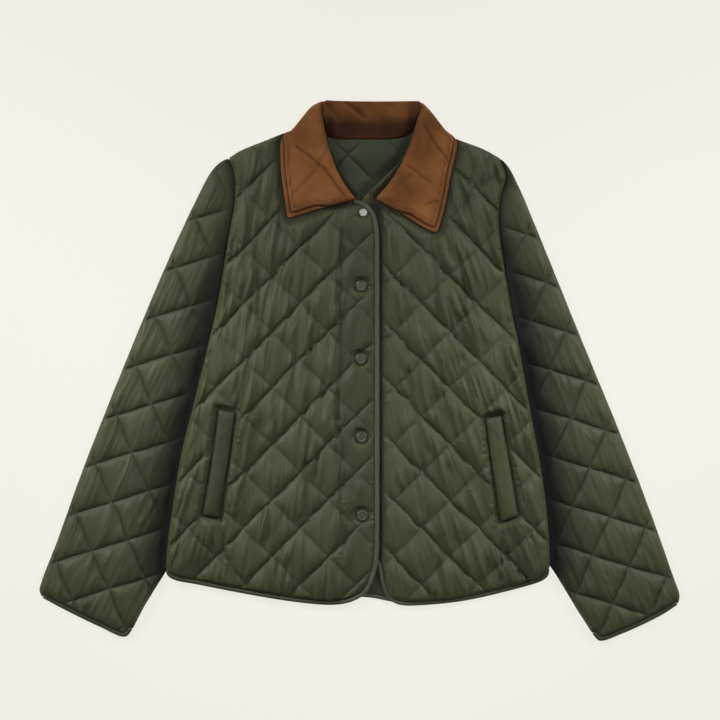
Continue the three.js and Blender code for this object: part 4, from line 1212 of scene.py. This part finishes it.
def binding(name, whole, turn, bottom_at, wall):
    path = short_of_ends(whole)
    inner = bound_inner(path, turn, 1.12)
    z = bottom_at((path + inner) / 2)
    puff = 1 + 0.05 * ripple(path, 6, 2.0)
    rings = []
    for outer, deep, low, swell in zip(path, inner, z, puff):
        ring = [(*(outer + (deep - outer) * a), low + wall * b * swell) for a, b in BEAD]
        rings.append(ring if turn > 0 else ring[::-1])
    piece = smoothed(strip(name, rings, BINDING))
    mark(piece, "shade", tape_shade(points_of(piece)))
    return piece


binding_pieces = {
    "binding_back_hem": binding("tape_back_hem", hem["back"], 1, body_lift, PLAIN_WALL),
    "binding_front_right": binding("tape_front_right", bound["R"], 1, lambda p: front_base(p) + lap_lift(p),
                                   PLAIN_WALL + 1.2),
    "binding_front_left": binding("tape_front_left", bound["L"], -1, front_base, PLAIN_WALL),
}


def cuff_binding(s, word):
    """One band round the open end of a sleeve: over the upper layer and back under the lower one."""
    turn = 1 if s == "R" else -1
    cuff = short_of_ends(curve(CUFF[s], 3))
    inner = offset(cuff, turn * (CUFF_BINDING + 0.6))
    rings = []
    for low, high, order in ((SLEEVE_BASE, SLEEVE_BASE + SEAM_WALL + 0.7, 1), (UNDER_WALL, 0, -1)):
        for outer, deep in list(zip(cuff, inner))[::order]:
            mid = (low + high) / 2
            wide = (high - low) / 2
            ring = [(*(outer + (deep - outer) * a), mid + wide * (2 * b - 1)) for a, b in BEAD]
            rings.append(ring if turn > 0 else ring[::-1])
    piece = strip(f"tape_cuff_{word}", rings, BINDING, looped=True)
    mark(piece, "shade", tape_shade(points_of(piece)))
    return piece


binding_pieces["binding_cuff_right"] = cuff_binding("R", "right")
binding_pieces["binding_cuff_left"] = cuff_binding("L", "left")

# %% [markdown]
# ## Welts
#
# A welt is a folded strip of shell cloth that stands over a slanted pocket. It could be cut into the
# front, but the real one is a separate strip sewn on at its ends. It is made as one, with its own
# thickness, so the gap round it is real. The dark line round it is partly that gap and partly painted
# shade on the welt's edge and on the front beside it.

# %% Welts
WELT_WALL, WELT_EDGE, WELT_GAP = 4.6, 1.6, 0.8


def panel_named(name):
    return next(panel for panel in panels if panel.name == name)


def welt(s, word):
    outline = welt_shape[s]
    base = panel_named(f"front_cloth_{word}").base
    under = lambda p: base(p) + PLAIN_WALL + WELT_GAP

    def top(p):
        d = distance(p, outline)
        sewn = distance(p, curve(WELT[s]["sewn"]), closed=False)
        rise = np.sqrt(smooth(d / 7)) * (1 - 0.45 * np.exp(-((sewn - 2.2) / 1.1) ** 2))
        return under(p) + WELT_EDGE + (WELT_WALL - WELT_EDGE) * rise + 0.35 * ripple(p, 7, 4.0) * smooth(d / 5)

    fine = scatter(outline, grid_points(2.6), 1.2)
    points, faces = fill(outline, fine)
    piece = close_sheet(f"welt_cloth_{word}", outline, points, faces, top(points), under, SHELL, 8)
    # Painted shade along the quilting lines that cross the welt, and a painted dark line round its edge
    mark(piece, "groove_shade", QUILTS[f"front_{s}"].groove_shade(points) * 0.7)
    by_edge = np.exp(-((distance(points, outline) / 1.2) ** 2))
    mark(piece, "shade", 0.3 + 0.5 * by_edge if s == "R" else 0.6 * by_edge)
    return smoothed(piece)


welt_pieces = {"welt_right": welt("R", "right"), "welt_left": welt("L", "left")}

# %% [markdown]
# ## Collar leaves
#
# Each leaf is two layers of cloth: an under layer that lies on the front and an upper one that is
# thicker at the roll and flat at its stitched edge. One solid could stand for both, but the thin dark
# line between them would be lost. That line is the real gap between the layers, with painted shade on
# the under layer along the upper one's edge. The leaf rises towards the roll, where the collar turns over.

# %% Collar leaves
def roll_height(p):
    return ROLL_HEIGHT_TIP + (ROLL_HEIGHT_BACK - ROLL_HEIGHT_TIP) * smooth((p[:, 1] - 215) / 110)


# Sewn lines of the collar's own quilting, and its soft folds, pressed in and with painted shade:
# x1, y1, x2, y2, half width, depth
LEAF_LINES = {
    "R": np.array([(-81, 286, -64, 273, 2.2, 1.2), (-64, 273, -45, 257, 2.2, 1.2), (-45, 257, -19, 221, 2.2, 1.2),
                   (-84, 228, -60, 252, 2.2, 0.8), (-60, 252, -40, 285, 2.2, 0.8), (-44, 332, -36, 308, 3, 1.0)]),
    "L": np.array([(81, 312, 100, 283, 2.2, 1.2), (100, 283, 116, 262, 2.2, 1.2), (60, 262, 90, 240, 2.2, 0.9),
                   (83, 212, 103, 218, 2.2, 1.0), (40, 228, 66, 250, 2.2, 0.8), (92, 259, 104, 272, 4, -1.2)]),
}


def leaf_floor(s, word):
    panel = panel_named(f"front_cloth_{word}")

    def floor(p):
        lap = lap_lift(p) if s == "R" else 0
        return np.where(inside(p, panel.outline), panel.base(p), front_base(p) + lap) + PLAIN_WALL + LEAF_GAP

    return floor


def leaf(s, word):
    floor = leaf_floor(s, word)
    outer = leaf_shape[s]
    under_top = lambda p: floor(p) + LEAF_UNDER_WALL
    from_roll = distance(outer, roll[s], closed=False)
    short = SEAM_GAP + LEAF_RIM * smooth((from_roll - 30) / 20) * smooth((LEAF_SIDE_TOP - outer[:, 1]) / 20)
    rim = inset(outer, short)
    leaf_rim[s] = rim
    rings = np.vstack([scatter(outer, offset(rim, reach, closed=True), 0.8) for reach in (1.4, 0, -1.4, -3)])
    crowded = grid_points(6)[distance(grid_points(6), rim) > 4]
    under = plain_sheet(f"collar_under_cloth_{word}", outer, np.vstack([rings, scatter(outer, crowded, 2)]),
                        under_top, floor, COLLAR, 12,
                        shade=lambda p: 0.9 * np.exp(-((distance(p, rim) / 1.5) ** 2)))
    bottom = lambda p: under_top(p) + LAYER_GAP

    def top(p):
        d = distance(p, rim)
        rolled = distance(p, roll[s], closed=False)
        wall = LEAF_EDGE_WALL + (LEAF_WALL - LEAF_EDGE_WALL) * edge_rise(d, 5)
        stitched = 0.8 * np.exp(-((d - 4.6) / 0.9) ** 2) * smooth((rolled - 8) / 8)
        rise = (roll_height(p) - bottom(p) - LEAF_WALL) * np.exp(-((rolled / ROLL_REACH) ** 2))
        rise = np.maximum(0, rise) * (0.5 + 0.5 * edge_rise(d, 9))
        puff = 3.0 * ripple(p, 21, 5.0) * smooth(d / 12)
        return bottom(p) + wall + rise + puff - stitched - crease_depth(p, LEAF_LINES[s]) * smooth(d / 4)

    points, faces = fill(rim, scatter(rim, grid_points(2.4), 1.3))
    piece = close_sheet(f"collar_leaf_cloth_{word}", rim, points, faces, np.maximum(top(points), bottom(points) + 1),
                        bottom, COLLAR, 10)
    d = distance(points, rim)
    rolled = distance(points, roll[s], closed=False)
    # Painted shade in the stitched line near the edge and along the collar's sewn lines and folds
    lines = np.clip(crease_depth(points, LEAF_LINES[s]), 0, 1)
    mark(piece, "groove_shade", np.clip(np.exp(-((d - 4.6) / 0.9) ** 2) * smooth((rolled - 8) / 8) + 0.9 * lines, 0, 1))
    return under, smoothed(piece)


collar_pieces, leaf_rim = {}, {}
for s, word in (("R", "right"), ("L", "left")):
    collar_pieces[f"collar_under_{word}"], collar_pieces[f"collar_leaf_{word}"] = leaf(s, word)

# %% [markdown]
# ## Collar stand and fall
#
# Inside the back of the neck the stand rises from the seam to the roll and is seen from within. The fall
# lies behind it, folded over and out of sight. Both could be one bent sheet, but a sheet that folds on
# itself crosses itself easily. Two pieces that meet at the roll look the same and stay apart.

# %% Collar stand and fall
roll_back = curve(ROLL_BACK, 3)
seam_at_stand = curve(NECK_BACK, 3)
seam_at_stand = seam_at_stand[(seam_at_stand[:, 0] > -42) & (seam_at_stand[:, 0] < 63)]
stand_rim = inset(joined(roll_back, roll["L"][roll["L"][:, 1] > 306], seam_at_stand[::-1],
                         roll["R"][roll["R"][:, 1] > 306][::-1]), SEAM_GAP)
STAND_FOLDS = np.array([(-18, 342, 6, 322, 4, 3.2), (-30, 344, -8, 326, 5, -1.6), (30, 343, 44, 330, 7, 1.6), (-42, 338, -28, 322, 3, 2.4),
                        (-44, 322, -34, 312, 3, 1.2), (-10, 344, 60, 344, 4, -0.6)])


def stand_top(p):
    share = np.clip((p[:, 1] - 296) / 46, 0, 1)
    return STAND_FOOT + (ROLL_HEIGHT_BACK - STAND_FOOT) * np.sin(np.pi / 2 * share) ** 1.15


def stand_height(p):
    return stand_top(p) - crease_depth(p, STAND_FOLDS) * smooth(distance(p, stand_rim) / 6)


stand_points, stand_faces = fill(stand_rim, scatter(stand_rim, grid_points(2.6), 1.3))
stand_piece = close_sheet("collar_stand_cloth", stand_rim, stand_points, stand_faces, stand_height(stand_points),
                          lambda p: stand_top(p) - STAND_WALL, COLLAR, 6)
lit_fold = np.exp(-((distance(stand_points, np.array([(-24.0, 342), (6.0, 324)]), closed=False) / 5) ** 2))
mark(stand_piece, "shade", np.clip(0.04 + 0.7 * smooth((329 - stand_points[:, 1]) / 18)
                                   + 0.6 * smooth((stand_points[:, 0] - 56) / 10)
                                   + 0.35 * smooth((-30 - stand_points[:, 0]) / 8) - 0.3 * lit_fold, 0, 1))
# Painted shade in the stand's two deepest folds
mark(stand_piece, "groove_shade", np.clip(crease_depth(stand_points, STAND_FOLDS[:2]) * 0.2, 0, 1))
collar_pieces["collar_stand"] = smoothed(stand_piece)

FALL_ROLL = 9
fall_rim = inset(fall, SEAM_GAP)


def fall_rise(p):
    return smooth(1 - distance(p, fall_top, closed=False) / FALL_ROLL) * smooth((away_from(p, body) - 3) / 5)


def fall_height(p):
    leaf_limit = front_base(p) + PLAIN_WALL
    amid = smooth((p[:, 0] + 46 - 4) / 8) * smooth((79 - 4 - p[:, 0]) / 8)
    limit = leaf_limit + (stand_top(p) - STAND_WALL - LAYER_GAP - leaf_limit) * amid
    return FALL_WALL + (limit - FALL_WALL) * fall_rise(p)


fall_points, fall_faces = fill(fall_rim, scatter(fall_rim, grid_points(3.4), 1.5))
collar_pieces["collar_fall"] = smoothed(close_sheet(
    "collar_fall_cloth", fall_rim, fall_points, fall_faces, fall_height(fall_points),
    lambda p: 2 * fall_rise(p), COLLAR, 6))
print("collar:", list(collar_pieces))

# %% [markdown]
# ## Snaps
#
# A snap's cap is a small round pressing with a rolled rim and a dished middle. Its section is turned
# round an axis, as a lathe does, which gives an even form with few faces. The cloth round each snap was
# pressed down when the panels were made.

# %% Snaps
def snap(number, x, y, r, pale):
    tall = 2.6
    profile = [(0.0, 0.0), (r * 0.86, 0.0), (r * 0.97, 0.35), (r, 0.9), (r * 0.98, 1.5), (r * 0.92, 2.1),
               (r * 0.82, tall), (r * 0.74, tall * 0.98), (r * 0.66, tall * 0.86), (r * 0.4, tall * 0.9),
               (r * 0.18, tall * 0.95), (0.0, tall * 0.97)]
    base = panel_named("front_cloth_right").base(np.array([(x, y)], float))[0] + PLAIN_WALL + SEAM_GAP
    count = 40
    points, faces = [(x, y, base)], []
    for radius, z in profile[1:-1]:
        points += [(x + radius * math.cos(2 * math.pi * k / count), y + radius * math.sin(2 * math.pi * k / count),
                    base + z) for k in range(count)]
    points.append((x, y, base + profile[-1][1]))
    rows = len(profile) - 2
    for k in range(count):
        m = (k + 1) % count
        faces.append((0, 1 + m, 1 + k))
        for row in range(rows - 1):
            a, b = 1 + row * count, 1 + (row + 1) * count
            faces.append((a + k, a + m, b + m, b + k))
        last = 1 + (rows - 1) * count
        faces.append((last + k, last + m, len(points) - 1))
    return mesh_object(f"snap_cap_{number}", points, faces, PALE_SNAP if pale else DARK_SNAP)


snap_pieces = {f"snap_{i}": snap(i, *row) for i, row in enumerate(SNAPS, 1)}

# %% [markdown]
# ## Stitches
#
# Sewing shows as short thread ends that dip into the cloth. A dashed texture would be flat at the edge
# of a fold. Each stitch here is a small six-sided bead laid on the cloth's own surface, found by a ray
# from above, and all of a panel's stitches are joined into one mesh.

# %% Stitches
SPINDLE = [(-1, 0, 0), (0, 0.26, 0), (0, 0, 0.22), (0, -0.26, 0), (1, 0, 0)]
SPINDLE_FACES = [(0, 1, 2), (0, 2, 3), (4, 2, 1), (4, 3, 2), (0, 3, 1), (4, 1, 3)]


def stitches(name, places, ways, carrier, material, length=2.1):
    """Stitches at places, in millimetres, each along its way, on top of a carrier piece."""
    mesh = carrier.data
    tree = BVHTree.FromPolygons([v.co.copy() for v in mesh.vertices], [tuple(f.vertices) for f in mesh.polygons])
    points, faces = [], []
    for (x, y), way in zip(places, ways):
        ends = []
        for shift in (-0.5, 0, 0.5):
            px, py = np.array([x, y]) + way * length * shift
            hit = tree.ray_cast(((px + PLACE[0]) * MM, (py + PLACE[1]) * MM, 1.0), (0, 0, -1))[0]
            if hit is not None:
                ends.append((px, py, hit.z / MM))
        if len(ends) < 3:
            continue
        start = len(points)
        across = np.array([-way[1], way[0]])
        for along, aside, up in SPINDLE:
            end = ends[int(along) + 1]
            points.append((end[0] + across[0] * aside, end[1] + across[1] * aside, end[2] + 0.04 + up))
        faces += [tuple(start + k for k in face) for face in SPINDLE_FACES]
    piece = mesh_object(name, points, faces, material)
    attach(piece, "root")
    return piece


def along_path(path, pitch=3.3, closed=False):
    """Places and ways of stitches along a line of points."""
    line = np.vstack([path, path[:1]]) if closed else path
    steps = np.diff(line, axis=0)
    lengths = np.hypot(*steps.T)
    far = np.r_[0, np.cumsum(lengths)]
    marks = np.arange(pitch / 2, far[-1], pitch)
    which = np.clip(np.searchsorted(far, marks) - 1, 0, len(steps) - 1)
    ways = steps[which] / lengths[which, None]
    return line[which] + ways * (marks - far[which])[:, None], ways


def quilting_stitches(panel, blocked, pitch=3.3):
    """Stitches along every sewn line of a panel, clear of what covers it."""
    corners = panel.quilt.to_quilt(panel.outline)
    low, high = np.floor(corners.min(axis=0)).astype(int), np.ceil(corners.max(axis=0)).astype(int)
    marks = np.arange(0, 1, pitch / QUILT_SIDE)
    places, ways = [], []
    for axis in (0, 1):
        t = np.add.outer(np.arange(low[1 - axis], high[1 - axis]), marks).ravel()
        for k in range(low[axis], high[axis] + 1):
            q = np.column_stack([np.full(len(t), k), t] if axis == 0 else [t, np.full(len(t), k)])
            line = panel.quilt.to_plane(q)
            way = np.gradient(line, axis=0)
            places.append(line)
            ways.append(way / np.hypot(*way.T)[:, None])
    places, ways = np.vstack(places), np.vstack(ways)
    seen = inside(places, panel.outline)
    seen[seen] = distance(places[seen], panel.outline) > 2
    for shape in blocked:
        seen[seen] = ~inside(places[seen], shape)
    return places[seen], ways[seen]


stitch_pieces = []
for panel in panels:
    s = "R" if panel.name.endswith("right") else "L"
    dark = offset(body, -20, closed=True)
    blocked = [dark] if panel.name.startswith("sleeve") else [welt_shape[s], leaf_shape[s]]
    places, ways = quilting_stitches(panel, blocked)
    if panel.name == "front_cloth_left":
        seen = (places[:, 0] > LAP_EDGE_X) | (places[:, 1] > 219)
        places, ways = places[seen], ways[seen]
    if panel.name == "front_cloth_right":
        clear = np.min([np.hypot(places[:, 0] - x, places[:, 1] - y) - r for x, y, r, _ in SNAPS], axis=0) > 1.5
        places, ways = places[clear], ways[clear]
    stitch_pieces.append(stitches(f"{panel.name}_stitches", places, ways, padded_pieces[panel.name], SHELL_THREAD))
for s, word in (("R", "right"), ("L", "left")):
    places, ways = along_path(inset(welt_shape[s], 2.4), closed=True)
    stitch_pieces.append(stitches(f"welt_stitches_{word}", places, ways, welt_pieces[f"welt_{word}"], SHELL_THREAD))
    line = inset(leaf_rim[s], 4.6)
    line = line[distance(line, roll[s], closed=False) > 9]
    places, ways = along_path(line)
    straight = np.abs(np.einsum("ij,ij->i", ways, np.roll(ways, 1, axis=0))) > 0.2
    stitch_pieces.append(stitches(f"collar_stitches_{word}", places[straight], ways[straight],
                                  collar_pieces[f"collar_leaf_{word}"], COLLAR_THREAD))
for node, path, turn in (("binding_front_right", bound["R"], 1), ("binding_front_left", bound["L"], -1),
                         ("binding_back_hem", hem["back"], 1)):
    places, ways = along_path(bound_inner(path, turn, 0.78))
    stitch_pieces.append(stitches(f"{node}_stitches", places, ways, binding_pieces[node], SHELL_THREAD))
print("stitched pieces:", len(stitch_pieces), "faces:", sum(len(piece.data.polygons) for piece in stitch_pieces))

# %% [markdown]
# ## Studio
#
# The jacket is seen from straight above on a pale ground. A bright world alone would light both sides of
# every ridge alike. Two narrow boxes, one at each side, rake across the nearer half of the jacket, and a
# large overhead box fills the shadows. The ground glows a little, so that it stays even to its edges.

# %% Floor, light and camera
def floor():
    shader = Shader("floor_paper", Specular_IOR_Level=0.0, Emission_Color=colour(244, 241, 232),
                    Emission_Strength=0.885)
    tone = shader.mix_colour(shader.noise(3.0), colour(98, 97, 93), colour(100, 99, 95))
    material = shader.finish(tone, shader.noise(40.0) * 0.05 + 0.85)
    mesh = bpy.data.meshes.new("floor")
    far = 5.0
    mesh.from_pydata([(-far, -far, -0.0006), (far, -far, -0.0006), (far, far, -0.0006), (-far, far, -0.0006)],
                     [], [(0, 1, 2, 3)])
    mesh.materials.append(material)
    plane = bpy.data.objects.new("floor", mesh)
    bpy.context.scene.collection.objects.link(plane)


def area_light(name, place, size, power, aim=(0, 0, 0), spread=180):
    light = bpy.data.lights.new(name, "AREA")
    light.size, light.energy, light.spread = size, power, math.radians(spread)
    lamp = bpy.data.objects.new(name, light)
    lamp.location = place
    away = np.array(place, float) - np.array(aim, float)
    lamp.rotation_euler = (math.atan2(math.hypot(away[0], away[1]), away[2]), 0,
                           math.atan2(away[0], -away[1]))
    bpy.context.scene.collection.objects.link(lamp)


PIXEL = 1.28 * MM
CAMERA_HEIGHT, SENSOR = 3.2, 36.0


def camera():
    data = bpy.data.cameras.new("camera")
    data.sensor_width = SENSOR
    data.lens = SENSOR * CAMERA_HEIGHT / (720 * PIXEL)
    eye = bpy.data.objects.new("camera", data)
    eye.location = (0.5 * MM, 13.5 * MM, CAMERA_HEIGHT)
    bpy.context.scene.collection.objects.link(eye)
    bpy.context.scene.camera = eye


floor()
area_light("left_box", (-1.35, 0.95, 0.85), 0.5, 1.68, (-0.28, -0.04, 0), 40)
area_light("right_box", (1.35, 0.95, 0.85), 0.5, 1.52, (0.3, -0.04, 0), 40)
area_light("overhead", (-0.4, 0.9, 2.4), 1.2, 8)
camera()
world = bpy.data.worlds.new("studio")
bpy.context.scene.world = world
world.use_nodes = True
world.node_tree.nodes["Background"].inputs["Color"].default_value = (1.0, 0.985, 0.96, 1.0)
world.node_tree.nodes["Background"].inputs["Strength"].default_value = 0.2
bpy.context.scene.view_settings.view_transform = "Standard"

# %% [markdown]
# ## Pieces on the body
#
# Every piece rides on the one body, and where it stands for a solid, that solid is hidden.

def declare(piece, node, slot):
    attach(piece, "root")
    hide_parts(node)


def declare_sheet(piece, node, slot, outline):
    if node is None:
        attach(piece, "root")
    else:
        declare(piece, node, slot)
    low, high = outline.min(axis=0), outline.max(axis=0)
    (high[0] - low[0]) * MM
    (high[1] - low[1]) * MM
    area_of(outline) * MM * MM


NODE_OF = {"front_cloth_right": "front_right", "front_cloth_left": "front_left",
           "sleeve_cloth_right": "sleeve_right_upper", "sleeve_cloth_left": "sleeve_left_upper"}
for panel in panels:
    declare_sheet(padded_pieces[panel.name], NODE_OF[panel.name], "shell_cloth", panel.outline)
declare_sheet(back_piece, "back_panel", "shell_cloth", back_rim)
for s, word in (("R", "right"), ("L", "left")):
    declare_sheet(under_pieces[s], f"sleeve_{word}_under", "shell_cloth", sleeve_rim(s))
for piece, outline in fold_pieces.values():
    declare_sheet(piece, None, "shell_cloth", outline)
for node, piece in binding_pieces.items():
    declare(piece, node, "binding_tape")
for s, word in (("R", "right"), ("L", "left")):
    front, under = f"front_{word}", f"collar_under_{word}"
    declare_sheet(welt_pieces[f"welt_{word}"], f"welt_{word}", "shell_cloth", welt_shape[s])
    declare_sheet(collar_pieces[under], under, "collar_cloth", leaf_shape[s])
    leaf_node = f"collar_leaf_{word}"
    declare_sheet(collar_pieces[leaf_node], leaf_node, "collar_cloth", leaf_rim[s])
declare_sheet(collar_pieces["collar_stand"], "collar_stand", "collar_cloth", stand_rim)
declare_sheet(collar_pieces["collar_fall"], "collar_fall", "collar_cloth", fall_rim)
for node, piece in snap_pieces.items():
    declare(piece, node, "snap_pale" if node == "snap_1" else "snap_dark")
